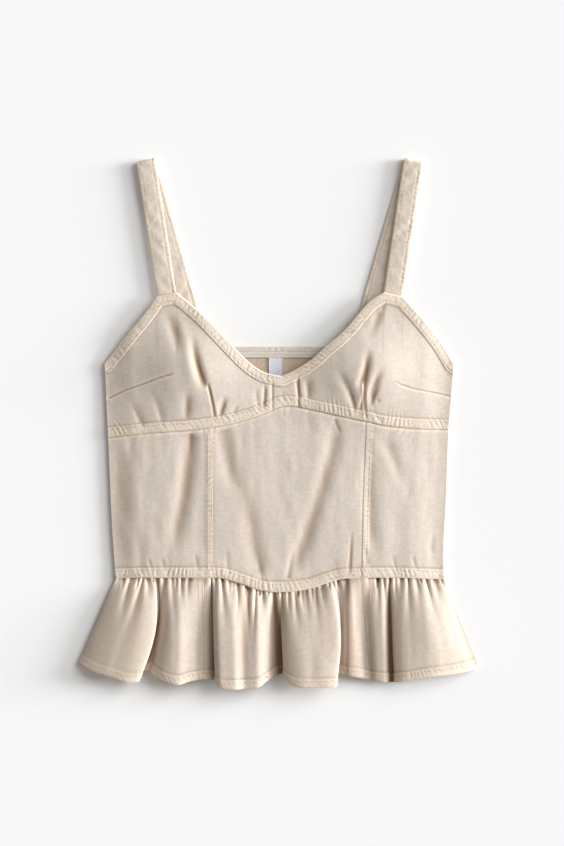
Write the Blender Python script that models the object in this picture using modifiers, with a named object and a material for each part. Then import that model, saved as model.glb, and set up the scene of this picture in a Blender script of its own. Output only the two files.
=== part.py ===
# A cotton twill peplum top, laid flat with its front up.
# Metres, +Z up. The origin lies on the flat underside below the middle of the front, and the straps point to +Y.
# Plan sizes below are millimetres from that origin, +X to the viewer's right.
# Heights are those of a wall's inner side.
import math
from collections import namedtuple

import bmesh
import bpy
import numpy as np

MM = 0.001

# Walls
CLOTH = 1.3
FELLED_EXTRA = 0.9
BAND_EXTRA_STEP = 1.8
SEAM_GAP = 0.3
UNDERBUST_BAND = 10.0
WAIST_BAND = 10.5
EDGE_BAND = 11.0
HEM_BAND = 9.5
PRINCESS_BAND = 7.0

# How the two layers lie
SIDE_CURL = 1.5
SIDE_CURL_REACH = 10.0
SIDE_HEIGHT = SIDE_CURL + CLOTH + SEAM_GAP
FRONT_LIFT = 4.4
FRONT_LIFT_REACH = 34.0

# Straps
STRAP_WIDTH = 22.0
STRAP_THICKNESS = 2.4
STRAP_TUCK = 8.0
STRAP_FOLD_TILT = 12.4
LONGEST_LEG = 300.0
BESIDE_FOLD = 8.0
# The upper leg lies just under the cup's inner side, and the lower leg on the floor.
STRAP_FOLD_RADIUS = (SIDE_HEIGHT + FRONT_LIFT - SEAM_GAP - STRAP_THICKNESS) / 2

# Back
WAIST_SIDE_Y = -176.0
UNDERARM_Y = 68.0
BACK_BAND_DEPTH = 12.5
BACK_BAND_THICKNESS = 1.2
BACK_BAND_HALF = 189.0

# Ruffle of the back, pressed flat on the floor
BACK_HEM_Y = -277.0
BACK_HEM_SAG = 3.5
BACK_SEAM_HALF = 185.0
BACK_HEM_HALF = 222.0
BACK_GATHERS = 44
BACK_GATHER_HEIGHT = 1.5
BACK_GATHER_REACH = 0.3
BACK_WAVES = 13
BACK_WAVE_HEIGHT = 2.3
BACK_FLAT_EDGE = 0.06
BACK_RUFFLE_CURL = 1.2
BACK_ROWS = (0.0, 0.06, 0.16, 0.32, 0.6, 1.0)

# Label
LABEL_WIDTH = 15.0
LABEL_LENGTH = 38.0
LABEL_THICKNESS = 1.0
LABEL_X = -5.0
LABEL_LIFT = 0.6

# Seams in plan, as (x, y) from the left side to the right
UNDERBUST = [(-195, -16), (-149, -11), (-103, -8), (-80, -5), (-62, -2), (-36, 5), (-14, 13), (-2, 18), (9, 19.5),
             (18, 19), (33, 16), (51, 12), (74, 7), (98, 2), (121, -3), (156, -6), (191, -7)]
WAIST = [(-186, -176), (-148, -175), (-73, -175), (-44, -182), (-24, -189), (-4, -191.5), (16, -190.5), (36, -187),
         (57, -180), (74, -176), (124, -175), (186, -177)]
# Upper edges of the cups, as (x, y). The neckline is lowest where its two sides meet.
NECKLINE_LOW_X = 2
ARMHOLE_LEFT = [(-199, 69), (-175, 99), (-156, 122), (-140, 144)]
NECKLINE_LEFT = [(-117, 149), (-89, 125), (-62, 97), (-41, 75), (-28, 64), (-14, 57), (NECKLINE_LOW_X, 54)]
NECKLINE_RIGHT = [(NECKLINE_LOW_X, 54), (11, 58), (24, 65), (36, 73), (49, 85), (61, 95), (74, 107), (85, 120),
                  (103, 140), (118, 149)]
ARMHOLE_RIGHT = [(140, 144), (171, 108), (186, 88), (197, 69)]
# Side seams, as (y, x) from the waist up
SIDE_LEFT = [(-178, -186), (-165, -187), (-110, -191), (-64, -193), (-15, -195), (28, -197), (69, -199)]
SIDE_RIGHT = [(-178, 186), (-155, 185), (-87, 188), (-7, 191), (29, 194), (69, 197)]
# Princess seams, as (y, x) from the waist up
PRINCESS_LEFT = [(-176, -75), (-90, -75.5), (-4, -75)]
PRINCESS_RIGHT = [(-176, 92.5), (-100, 94), (4, 98)]
BRIDGE_LEFT_X = -8.5
BRIDGE_RIGHT_X = 21.0
# Top edge of the back, as (x, y)
BACK_TOP = [(-199, 68), (-150, 80), (-97, 87.5), (0, 87.5), (102, 87), (150, 80), (197, 68)]

# Soft domes of the cups: centre, reach across and along, and height
Dome = namedtuple("Dome", "x y across along height")
DOMES = [
    Dome(-98, 62, 62, 48, 10.5),
    Dome(98, 62, 60, 48, 10.5),
    Dome(-62, -95, 70, 75, 1.6),
    Dome(70, -95, 70, 75, 1.6),
]

# Large soft folds: two ends in plan, sideways bow at the middle, half width, height, and the share of the length
# over which each end fades
Fold = namedtuple("Fold", "x1 y1 x2 y2 bow width height fade_in fade_out")
FOLDS = [
    Fold(-129, 134, -109, 66, 2, 7.0, -2.4, 0.3, 0.5),
    Fold(-99, 104, -82, 34, -3, 5.6, -4.8, 0.4, 0.3),
    Fold(-113, 112, -99, 30, 0, 6.0, 1.6, 0.4, 0.4),
    Fold(-104, 42, -104, 2, 0, 6.5, -1.8, 0.5, 0.2),
    Fold(-62, 30, -68, 8, 0, 5.0, -1.6, 0.4, 0.2),
    Fold(-160, 30, -140, -2, 2, 6.0, -1.2, 0.4, 0.3),
    Fold(103, 90, 88, 30, 3, 5.6, -4.4, 0.4, 0.3),
    Fold(122, 70, 99, 14, -4, 5.6, -3.2, 0.4, 0.2),
    Fold(62, 60, 86, 14, 2, 6.0, -2.2, 0.4, 0.2),
    Fold(117, 134, 101, 92, 0, 7.0, -1.6, 0.3, 0.4),
    Fold(36, 56, 36, 24, 0, 6.0, -1.4, 0.4, 0.4),
    Fold(-100, -6, -124, -162, 4, 8.5, -2.6, 0.1, 0.3),
    Fold(-168, -14, -164, -62, 0, 6.5, -1.4, 0.1, 0.5),
    Fold(-162, -112, -158, -172, 0, 6.5, -1.5, 0.4, 0.1),
    Fold(-66, -2, -46, -84, -4, 8.0, -2.0, 0.1, 0.4),
    Fold(-47, -66, -15, -180, 2, 8.0, -2.0, 0.4, 0.1),
    Fold(68, 2, 14, -178, 4, 8.5, -2.4, 0.1, 0.2),
    Fold(108, -4, 112, -146, 0, 7.5, -1.8, 0.1, 0.4),
    Fold(130, -24, 146, -82, 0, 7.0, -1.4, 0.3, 0.5),
]

# Lengthwise folds of the front ruffle, at the waist seam and at the hem.
# bow is how far the fold swings to the right half way down.
Wave = namedtuple("Wave", "seam_x hem_x hem_y hem_z bow")
WAVES = [
    Wave(-186, -228, -273, 3.5, 0),
    Wave(-177, -210, -282, 12, 0),
    Wave(-161, -191, -288, 17, 1),
    Wave(-150, -173, -293, 20, 5),
    Wave(-144, -161, -292, 18, 11),
    Wave(-142, -167, -287, 10, 11),
    Wave(-139, -163, -281, 5, 11),
    Wave(-135.5, -149, -281, 5.5, 6),
    Wave(-132, -144, -285, 10, 4),
    Wave(-125, -131, -292, 17, 1),
    Wave(-115, -116, -296, 19, 0),
    Wave(-103, -102, -292, 15, 0),
    Wave(-86, -85, -290, 9, 0),
    Wave(-79.5, -74, -290, 5.5, 0),
    Wave(-77, -67, -290, 6, 0),
    Wave(-75, -72, -296, 14, -1),
    Wave(-70, -67, -300, 21, -1),
    Wave(-55, -52, -301, 22, 0),
    Wave(-40, -39, -300, 18, 0),
    Wave(-27, -26, -299, 19, 0),
    Wave(-16, -15, -292, 13, 1),
    Wave(-9, -7, -287, 6.5, 0),
    Wave(-5, 0, -284, 5.5, -1),
    Wave(-1, 7, -282, 6, -1),
    Wave(2.5, 5, -287, 12, -1),
    Wave(8, 12, -295, 19, -1),
    Wave(23, 28, -299, 22, 0),
    Wave(43, 50, -299, 22, 2),
    Wave(57, 63, -298, 19, 7),
    Wave(60, 58, -291, 12, 8),
    Wave(63.5, 60, -285, 6, 7),
    Wave(69, 69, -284, 6.5, 2),
    Wave(76, 78, -286, 13, 1),
    Wave(84, 89, -288, 9.5, 0),
    Wave(88.5, 97.5, -290, 7, 0),
    Wave(91, 102, -291, 6.6, 0),
    Wave(97, 105.5, -291.5, 7.2, 0),
    Wave(104, 109.5, -292, 11, 0),
    Wave(114, 118, -293, 12, 0),
    Wave(121.5, 124.5, -293, 6.5, 0),
    Wave(125, 130, -293, 6.5, -1),
    Wave(129, 131, -293, 12, -1),
    Wave(139, 139, -292, 17, 0),
    Wave(157, 169, -287, 19, 0),
    Wave(173, 195, -284, 15, 0),
    Wave(182, 213, -281, 9, 0),
    Wave(186, 225, -277, 3.5, 0),
]
SEAM_WAVE_LEFT = 12
SEAM_WAVE_RIGHT = 35
# How soon the ruffle stands up below its flat seam edge, as shares of its length
RUFFLE_RISE = 0.24
RUFFLE_SEAM_FLAT = 0.03
# Spacing of the columns, and how far the side edges stay plain, along the hem
SEAM_EDGE = 0.9
LEAST_COLUMN = 1.9
PLAIN_EDGE = 16.0
GATHER_FULLNESS = 0.8

# Small gathers under the waist seam: place along the seam, depth, and how far down they reach as a share of
# the ruffle
Gather = namedtuple("Gather", "x depth reach")
GATHERS = [
    Gather(-180, 1.4, 0.15), Gather(-169, 2.6, 0.3), Gather(-155, 3.2, 0.4), Gather(-149, 2.2, 0.15),
    Gather(-140, 2.8, 0.3), Gather(-131, 2.6, 0.2), Gather(-122, 2.8, 0.3), Gather(-117, 2.2, 0.15),
    Gather(-111, 2.6, 0.2), Gather(-104, 1.8, 0.15), Gather(-73, 2.4, 0.2), Gather(-65, 2.6, 0.3),
    Gather(-57, 2.0, 0.15), Gather(-52, 2.2, 0.15), Gather(-47, 2.2, 0.2), Gather(-37, 3.0, 0.4),
    Gather(-27, 2.6, 0.35), Gather(-19, 2.4, 0.2), Gather(-7, 3.4, 0.35), Gather(2, 3.4, 0.4), Gather(10, 2.4, 0.2),
    Gather(17, 2.4, 0.3), Gather(25, 2.2, 0.15), Gather(30, 2.2, 0.2), Gather(36, 2.2, 0.15), Gather(41, 2.2, 0.2),
    Gather(47, 2.0, 0.15), Gather(60, 2.2, 0.2), Gather(67, 2.0, 0.15), Gather(75, 2.4, 0.2), Gather(101, 2.0, 0.15),
    Gather(106, 2.2, 0.15), Gather(112, 2.4, 0.25), Gather(118, 2.8, 0.2), Gather(124, 3.2, 0.4),
    Gather(131, 2.2, 0.2), Gather(138, 2.4, 0.2), Gather(146, 2.2, 0.3), Gather(155, 2.0, 0.15),
    Gather(166, 2.4, 0.3), Gather(176, 2.0, 0.2),
]
GATHER_HALF_WIDTH = 2.7

# Rows of each piece, as shares from its lower edge to its upper edge between the felled bands
CUP_ROWS = 9
BODICE_ROWS = 10
BRIDGE_ROWS = 4
BACK_PANEL_ROWS = 9
RUFFLE_ROWS = [0.0, 0.035, 0.1, 0.2, 0.34, 0.52, 0.72]


def pchip(points):
    # A smooth curve through the points that never overshoots them, as a function of the first column.
    xs, ys = np.array(points, float).T
    run = np.diff(xs)
    rise = np.diff(ys) / run
    slope = np.zeros(len(xs))
    same_way = rise[:-1] * rise[1:] > 0
    before, after = 2 * run[1:] + run[:-1], run[1:] + 2 * run[:-1]
    safe = np.where(same_way, rise[:-1], 1), np.where(same_way, rise[1:], 1)
    slope[1:-1] = np.where(same_way, (before + after) / (before / safe[0] + after / safe[1]), 0)
    slope[0], slope[-1] = rise[0], rise[-1]

    def value(x):
        x = np.clip(np.asarray(x, float), xs[0], xs[-1])
        k = np.clip(np.searchsorted(xs, x, side="right") - 1, 0, len(run) - 1)
        t = (x - xs[k]) / run[k]
        return (
            ys[k] * (1 + 2 * t) * (1 - t) ** 2
            + ys[k + 1] * t * t * (3 - 2 * t)
            + run[k] * (slope[k] * t * (1 - t) ** 2 - slope[k + 1] * t * t * (1 - t))
        )

    return value


def ease(t):
    # Rises smoothly from 0 to 1.
    t = np.clip(t, 0, 1)
    return t * t * (3 - 2 * t)


underbust = pchip(UNDERBUST)
waist = pchip(WAIST)
armhole_left = pchip(ARMHOLE_LEFT)
neckline_left = pchip(NECKLINE_LEFT)
neckline_right = pchip(NECKLINE_RIGHT)
armhole_right = pchip(ARMHOLE_RIGHT)
side_left = pchip(SIDE_LEFT)
side_right = pchip(SIDE_RIGHT)
princess_left = pchip(PRINCESS_LEFT)
princess_right = pchip(PRINCESS_RIGHT)
back_top = pchip(BACK_TOP)


def cup_top(x):
    # Upper edge of the front: armhole, strap end and neckline on each side.
    strap_end_left = np.interp(x, *zip(ARMHOLE_LEFT[-1], NECKLINE_LEFT[0]))
    strap_end_right = np.interp(x, *zip(NECKLINE_RIGHT[-1], ARMHOLE_RIGHT[0]))
    return np.select(
        [
            x < ARMHOLE_LEFT[-1][0],
            x < NECKLINE_LEFT[0][0],
            x < NECKLINE_LOW_X,
            x < NECKLINE_RIGHT[-1][0],
            x < ARMHOLE_RIGHT[0][0],
        ],
        [armhole_left(x), strap_end_left, neckline_left(x), neckline_right(x), strap_end_right],
        armhole_right(x),
    )


def above_underbust(x):
    return underbust(x) + SEAM_GAP / 2


def below_underbust(x):
    return underbust(x) - SEAM_GAP / 2


def above_waist(x):
    return waist(x) + SEAM_GAP / 2


def from_side(x, y):
    # Distance in from the nearer side seam.
    return np.minimum(x - side_left(y), side_right(y) - x)


def dome_height(x, y, dome):
    return dome.height * np.exp(-(((x - dome.x) / dome.across) ** 2) - ((y - dome.y) / dome.along) ** 2)


def fold_height(x, y, fold):
    # A soft ridge or trough along a bowed line, fading towards its ends.
    along = np.array([fold.x2 - fold.x1, fold.y2 - fold.y1], float)
    length = np.hypot(*along)
    along /= length
    share = ((x - fold.x1) * along[0] + (y - fold.y1) * along[1]) / length
    aside = (y - fold.y1) * along[0] - (x - fold.x1) * along[1]
    held = np.clip(share, 0, 1)
    aside = aside - fold.bow * 4 * held * (1 - held)
    ends = ease(share / fold.fade_in) * ease((1 - share) / fold.fade_out)
    return fold.height * np.exp(-((aside / fold.width) ** 2)) * ends


def front_height(x, y):
    # Height of the inner side of the cups and the front panels.
    x, y = np.asarray(x, float), np.asarray(y, float)
    inward = ease(from_side(x, y) / FRONT_LIFT_REACH)
    domes = sum(dome_height(x, y, dome) for dome in DOMES)
    folds = sum(fold_height(x, y, fold) for fold in FOLDS)
    return SIDE_HEIGHT + inward * (FRONT_LIFT + domes + folds)


def back_height(x, y):
    # Height of the outer side of the back, flat on the floor but for its side edges.
    return SIDE_CURL * (1 - ease(from_side(x, y) / SIDE_CURL_REACH))


def lay_panel(bottom_x, top_x, lower, upper, rows, low_band, high_band=None):
    # Points of a front panel whose columns run from its lower to its upper edge, with rows at each band's inner edge.
    # The bands' depths may differ from column to column. The raised rows are returned as weights.
    low_y = lower(bottom_x)
    tall = upper(top_x) - low_y
    start, end = np.zeros(len(tall)), np.ones(len(tall))
    band_top, plain_start = low_band / tall, (low_band + BAND_EXTRA_STEP) / tall
    shares = [(start, 1.0), (band_top, 1.0)]
    plain_end = end
    if high_band is not None:
        plain_end = 1 - (high_band + BAND_EXTRA_STEP) / tall
    shares += [(plain_start + (plain_end - plain_start) * share, 0.0) for share in np.linspace(0, 1, rows)]
    if high_band is not None:
        shares += [(1 - high_band / tall, 1.0), (end, 1.0)]
    points = []
    for share, _weight in shares:
        x = bottom_x + (top_x - bottom_x) * share
        y = low_y + tall * share
        points.append(np.stack([x, y, front_height(x, y)], axis=-1))
    weights = [np.full(len(tall), weight) for _share, weight in shares]
    return np.array(points), np.array(weights)


def cloth(name, points, thickness, colour, weights=None, extra=FELLED_EXTRA, offset=1.0):
    # A grid laid on the points, given its thickness outwards. Rows run from low to high, columns from left to right.
    rows, columns = points.shape[:2]
    bm = bmesh.new()
    bmesh.ops.create_grid(bm, x_segments=columns - 1, y_segments=rows - 1, size=0.5)
    places = {}
    for vertex in bm.verts:
        column = round((vertex.co.x + 0.5) * (columns - 1))
        row = round((vertex.co.y + 0.5) * (rows - 1))
        places[vertex.index] = (row, column)
        vertex.co = points[row, column] * MM
    mesh = bpy.data.meshes.new(name)
    bm.to_mesh(mesh)
    bm.free()
    mesh.shade_smooth()
    piece = bpy.data.objects.new(name, mesh)
    garment.objects.link(piece)
    piece.data.materials.append(colour)
    wall = piece.modifiers.new("cloth thickness", "SOLIDIFY")
    wall.thickness = thickness * MM
    wall.offset = offset
    if weights is not None:
        wall.thickness = (thickness + extra) * MM
        wall.thickness_vertex_group = thickness / (thickness + extra)
        wall.vertex_group = "felled"
        felled = piece.vertex_groups.new(name="felled")
        for index, (row, column) in places.items():
            felled.add([index], float(weights[row, column]), "REPLACE")
    return piece


def twill(name, red, green, blue, roughness):
    # Linear colour of the dyed cloth.
    material = bpy.data.materials.new(name)
    material.use_nodes = True
    shader = material.node_tree.nodes["Principled BSDF"]
    shader.inputs["Base Color"].default_value = (red, green, blue, 1.0)
    shader.inputs["Roughness"].default_value = roughness
    shader.inputs["Metallic"].default_value = 0.0
    return material


def make_cup(name, seam_x, side_bottom_x, side_top_x, corners, columns, colour):
    # A cup from the bridge to the side seam, with columns at both corners of the strap end.
    slope_reach, steepest = 6.0, 1.4
    stops = np.array([side_top_x, *corners, seam_x], float)
    spans = np.abs(np.diff(stops))
    counts = np.maximum(1, np.round(spans / spans.sum() * columns)).astype(int)
    runs = [np.linspace(a, b, n, endpoint=False) for a, b, n in zip(stops[:-1], stops[1:], counts)]
    top_x = np.sort(np.concatenate([*runs, stops[-1:]]))
    toward_side = (top_x - seam_x) / (side_top_x - seam_x)
    bottom_x = seam_x + (side_bottom_x - seam_x) * toward_side
    lean = (cup_top(top_x + slope_reach) - cup_top(top_x - slope_reach)) / (2 * slope_reach)
    edge_band = EDGE_BAND * np.sqrt(1 + np.clip(lean, -steepest, steepest) ** 2)
    points, weights = lay_panel(bottom_x, top_x, above_underbust, cup_top, CUP_ROWS, UNDERBUST_BAND, edge_band)
    return cloth(name, points, CLOTH, colour, weights)


def make_bridge(name, colour):
    # The small piece between the cups.
    x = np.array([BRIDGE_LEFT_X + SEAM_GAP / 2, -3, NECKLINE_LOW_X, 11, 16, BRIDGE_RIGHT_X - SEAM_GAP / 2])
    points, weights = lay_panel(x, x, above_underbust, cup_top, BRIDGE_ROWS, UNDERBUST_BAND, EDGE_BAND)
    return cloth(name, points, CLOTH, colour, weights)


def make_bodice_panel(name, left, right, gaps, columns, colour, felled_side=None):
    # A front panel between two lengthwise seams, with the felled waist band and, on one side, a felled princess seam.
    inset_left, inset_right = gaps
    top_y = 0.0
    top_left, top_right = left(top_y) + inset_left, right(top_y) - inset_right
    low_left, low_right = left(WAIST_SIDE_Y) + inset_left, right(WAIST_SIDE_Y) - inset_right
    shares = list(np.linspace(0, 1, columns + 1))
    band, step = PRINCESS_BAND / (top_right - top_left), BAND_EXTRA_STEP / (top_right - top_left)
    if felled_side == "left":
        shares = [0, band, band + step] + shares[2:]
    if felled_side == "right":
        shares = shares[:-2] + [1 - band - step, 1 - band, 1]
    shares = np.array(shares)
    bottom_x = low_left + (low_right - low_left) * shares
    top_x = top_left + (top_right - top_left) * shares
    points, weights = lay_panel(bottom_x, top_x, above_waist, below_underbust, BODICE_ROWS, WAIST_BAND)
    # The lengthwise seams curve a little between their ends, so each row is stretched to meet them.
    for row in points:
        start, end = left(row[0, 1]) + inset_left, right(row[-1, 1]) - inset_right
        row[:, 0] = start + (row[:, 0] - row[0, 0]) * (end - start) / (row[-1, 0] - row[0, 0])
        row[:, 2] = front_height(row[:, 0], row[:, 1])
    if felled_side == "left":
        weights[:, :2] = 1.0
    if felled_side == "right":
        weights[:, -2:] = 1.0
    return cloth(name, points, CLOTH, colour, weights)


class Ruffle:
    # The front ruffle as a surface over its length along the hem and its share down from the waist seam.
    def __init__(self):
        hem = np.array([(wave.hem_x, wave.hem_y, wave.hem_z) for wave in WAVES])
        steps = np.hypot(np.diff(hem[:, 0]), np.diff(hem[:, 2]))
        self.along = np.concatenate([[0], np.cumsum(steps)])
        self.seam_x, self.hem_x, self.hem_y, self.hem_z, self.bow = (
            pchip(np.column_stack([self.along, [getattr(wave, column) for wave in WAVES]])) for column in Wave._fields
        )
        self.length = self.along[-1]

    def at_seam(self, x):
        # Length along the hem of the column that starts at this place on the waist seam.
        steps = np.linspace(0, self.length, 4000)
        return float(np.interp(x, self.seam_x(steps), steps))

    def gathers(self, x, down):
        return -sum(
            gather.depth
            * np.exp(-(((x - gather.x) / GATHER_HALF_WIDTH) ** 2))
            * np.exp(-((down / gather.reach) ** 2))
            for gather in GATHERS
        )

    def points(self, along, down):
        seam_x, hem_x, hem_y, hem_z, bow = (
            part(along) for part in (self.seam_x, self.hem_x, self.hem_y, self.hem_z, self.bow)
        )
        seam_y = waist(seam_x) - SEAM_GAP
        seam_z = front_height(seam_x, seam_y)
        rise = 1 - np.exp(-np.maximum(down - RUFFLE_SEAM_FLAT, 0) / RUFFLE_RISE)
        rise = rise / (1 - math.exp((RUFFLE_SEAM_FLAT - 1) / RUFFLE_RISE))
        x = seam_x + (hem_x - seam_x) * down + bow * np.sin(math.pi * down)
        y = seam_y + (hem_y - seam_y) * down
        inward = ease(np.minimum(along, self.length - along) / PLAIN_EDGE)
        z = seam_z + (hem_z - seam_z) * rise + inward * (self.gathers(seam_x, down) + GATHER_FULLNESS)
        return np.stack([x, y, z], axis=-1)

    def columns(self, start, end):
        # Columns at every fold, in every gather and between gathers, none closer than the least spacing.
        pits = [gather.x for gather in GATHERS]
        places = [self.at_seam(x) for x in pits + [(a + b) / 2 for a, b in zip(pits, pits[1:])]]
        first, last = start + SEAM_EDGE, end - SEAM_EDGE
        kept = [start, first]
        for place in sorted([*self.along, *places]):
            if place - kept[-1] > LEAST_COLUMN and last - place > LEAST_COLUMN:
                kept.append(place)
        return np.array(kept + [last, end])


def make_ruffle_front(name, ruffle, start, end, colour):
    along = ruffle.columns(start, end)
    top, hem = ruffle.points(along, np.zeros(len(along))), ruffle.points(along, np.ones(len(along)))
    depth = np.hypot(*(hem - top)[:, :2].T)
    rows = [np.full(len(along), share) for share in RUFFLE_ROWS]
    rows += [1 - (HEM_BAND + BAND_EXTRA_STEP) / depth, 1 - HEM_BAND / depth, np.ones(len(along))]
    points = np.array([ruffle.points(along, down) for down in rows])
    weights = np.zeros(points.shape[:2])
    weights[-2:] = 1.0
    return cloth(name, points[::-1], CLOTH, colour, weights[::-1])


def back_ruffle_points(across, down):
    # The back ruffle lies pressed on the floor: small gathers at the seam run into broad low waves at the hem.
    # across runs from -1 to 1, and its small wander keeps the folds uneven.
    x = across * (BACK_SEAM_HALF + (BACK_HEM_HALF - BACK_SEAM_HALF) * down)
    y = WAIST_SIDE_Y - SEAM_GAP + (BACK_HEM_Y - WAIST_SIDE_Y) * down
    y = y - BACK_HEM_SAG * down * np.cos(across * math.pi * 1.5)
    wander = 0.35 * np.sin(7 * across) + 0.25 * np.sin(17 * across + 1)
    small = 0.5 - 0.5 * np.cos(math.pi * BACK_GATHERS * across + wander)
    broad = 0.5 - 0.5 * np.cos(math.pi * BACK_WAVES * across + 2 * wander)
    inward = ease((1 - np.abs(across)) / BACK_FLAT_EDGE)
    fade = np.exp(-((down / BACK_GATHER_REACH) ** 2))
    folds = BACK_GATHER_HEIGHT * small * fade + BACK_WAVE_HEIGHT * broad * ease(2 * down)
    z = inward * np.minimum(folds, BACK_WAVE_HEIGHT) + BACK_RUFFLE_CURL * (1 - inward)
    return np.stack([x, y, z], axis=-1)


def make_strap(name, side, foot, top, colour):
    # A flat strip bent once round its fold line. side is -1 for the viewer's left. foot and top are the middle of the
    # front leg where it meets the cup and where it is folded.
    foot, top = np.array(foot, float), np.array(top, float)
    down = (foot - top) / np.linalg.norm(foot - top)
    across = np.array([-down[1], down[0]])
    tilt = math.radians(STRAP_FOLD_TILT)
    inward = np.array([-side * math.sin(tilt), -math.cos(tilt)])
    line = np.array([-inward[1], inward[0]])
    middle = top + inward * (STRAP_FOLD_RADIUS + STRAP_THICKNESS / 2)
    bend = math.pi * STRAP_FOLD_RADIUS
    low = STRAP_THICKNESS / 2
    turn = low + STRAP_FOLD_RADIUS

    def place(width, length):
        flat = across * width + down * length
        ahead, beside = flat @ inward, flat @ line
        if ahead >= 0:
            out, z = ahead, turn + STRAP_FOLD_RADIUS
        elif -ahead <= bend:
            angle = -ahead / STRAP_FOLD_RADIUS
            out, z = -STRAP_FOLD_RADIUS * math.sin(angle), turn + STRAP_FOLD_RADIUS * math.cos(angle)
        else:
            out, z = -ahead - bend, low
        x, y = middle + line * beside + inward * out
        return np.array([x, y, z])

    def length_to(width, front, target):
        # Length along the strip at which it reaches this height in plan, on its front or its back leg.
        near, far = (0.0, LONGEST_LEG) if front else (-3 * bend, -LONGEST_LEG)
        for _halving in range(40):
            guess = (near + far) / 2
            x, y, _z = place(width, guess)
            near, far = (near, guess) if y < target(x) else (guess, far)
        return (near + far) / 2

    columns = []
    for width in (-STRAP_WIDTH / 2, 0.0, STRAP_WIDTH / 2):
        start = length_to(width, True, lambda x: cup_top(np.array(x)) - STRAP_TUCK)
        end = length_to(width, False, lambda x: back_top(x) + SEAM_GAP)
        fold_start = -(across * width @ inward) / (down @ inward)
        fold_end = fold_start - bend / (down @ inward)
        # Few rows on the straight legs, more round the fold.
        front_leg = np.linspace(start, fold_start + BESIDE_FOLD, 13)
        back_leg = np.linspace(fold_end - BESIDE_FOLD, end, 16)
        lengths = np.concatenate([front_leg, np.linspace(fold_start, fold_end, 7), back_leg])
        column = np.array([place(width, length) for length in lengths])
        # The front leg is sewn in behind the cup, so its end follows the cup's inner side.
        inner = front_height(column[:, 0], column[:, 1]) - SEAM_GAP - STRAP_THICKNESS / 2
        under = ease((lengths - start + 4 * STRAP_TUCK) / (2.5 * STRAP_TUCK)) * (lengths > 0)
        column[:, 2] += (inner - column[:, 2]) * under
        columns.append(column)
    return cloth(name, np.stack(columns, axis=1)[::-1], STRAP_THICKNESS, colour, offset=0.0)


def make_back(name, colour):
    # The back lies face down on the floor, from the waist seam to its top edge.
    across = np.array([-1, -0.985, -0.97, -0.95, -0.9, -0.67, -0.45, -0.22])
    across = np.concatenate([across, [0], -across[::-1]])
    rows = []
    for share in np.linspace(0, 1, BACK_PANEL_ROWS):
        side_y = WAIST_SIDE_Y + (UNDERARM_Y - WAIST_SIDE_Y) * share
        left, right = side_left(side_y), side_right(side_y)
        x = (left + right) / 2 + across * (right - left) / 2
        low_y = WAIST_SIDE_Y + SEAM_GAP / 2
        y = low_y + (back_top(x) - low_y) * share
        rows.append(np.stack([x, y, back_height(x, y)], axis=-1))
    return cloth(name, np.array(rows), CLOTH, colour)


def make_back_band(name, colour):
    # The turned edge of the back, lying on its inner side.
    x = np.linspace(-BACK_BAND_HALF, BACK_BAND_HALF, 15)
    rows = []
    for drop in (BACK_BAND_DEPTH, BACK_BAND_DEPTH / 2, 0.0):
        y = back_top(x) - drop
        rows.append(np.stack([x, y, back_height(x, y) + CLOTH + SEAM_GAP], axis=-1))
    return cloth(name, np.array(rows), BACK_BAND_THICKNESS, colour)


def make_label(name, colour):
    # The neck label hangs from the turned band, and its free end lifts a little.
    x = np.linspace(LABEL_X - LABEL_WIDTH / 2, LABEL_X + LABEL_WIDTH / 2, 4)
    top = back_top(LABEL_X) - BACK_BAND_DEPTH - SEAM_GAP
    rows = []
    for share in np.linspace(1, 0, 7):
        z = back_height(x, np.full(4, top)) + CLOTH + SEAM_GAP + LABEL_LIFT * share**2
        rows.append(np.stack([x, np.full(4, top - LABEL_LENGTH * share), z], axis=-1))
    return cloth(name, np.array(rows), LABEL_THICKNESS, colour)


def make_back_ruffle(name, colour):
    across = np.linspace(-1, 1, 2 * BACK_GATHERS + 1)
    rows = [back_ruffle_points(across, np.full(len(across), down)) for down in BACK_ROWS]
    return cloth(name, np.array(rows)[::-1], CLOTH, colour)


for thing in list(bpy.data.objects):
    bpy.data.objects.remove(thing, do_unlink=True)
garment = bpy.data.collections.new("peplum top")
bpy.context.scene.collection.children.link(garment)

front_twill = twill("cotton twill, front", 0.72, 0.63, 0.53, 0.85)
side_twill = twill("cotton twill, side", 0.69, 0.60, 0.50, 0.85)
ruffle_twill = twill("cotton twill, ruffle", 0.66, 0.57, 0.47, 0.85)
back_twill = twill("cotton twill, inside of the back", 0.50, 0.38, 0.28, 0.9)
band_twill = twill("cotton twill, turned band", 0.60, 0.56, 0.52, 0.9)
strap_twill = twill("cotton twill, strap", 0.68, 0.60, 0.50, 0.85)
label_satin = twill("woven polyester label", 0.76, 0.78, 0.85, 0.6)

strap_end_left = (ARMHOLE_LEFT[-1][0], NECKLINE_LEFT[0][0])
strap_end_right = (ARMHOLE_RIGHT[0][0], NECKLINE_RIGHT[-1][0])
half_gap = SEAM_GAP / 2
make_cup("cup_left", BRIDGE_LEFT_X - half_gap, -195.0, ARMHOLE_LEFT[0][0], strap_end_left, 22, front_twill)
make_cup("cup_right", BRIDGE_RIGHT_X + half_gap, 191.0, ARMHOLE_RIGHT[-1][0], strap_end_right, 21, front_twill)
make_bridge("bridge_front", front_twill)

make_bodice_panel("side_front_left", side_left, princess_left, (0, half_gap), 12, side_twill, "right")
make_bodice_panel("center_front", princess_left, princess_right, (half_gap, half_gap), 17, front_twill)
make_bodice_panel("side_front_right", princess_right, side_right, (half_gap, 0), 11, side_twill, "left")

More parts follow.
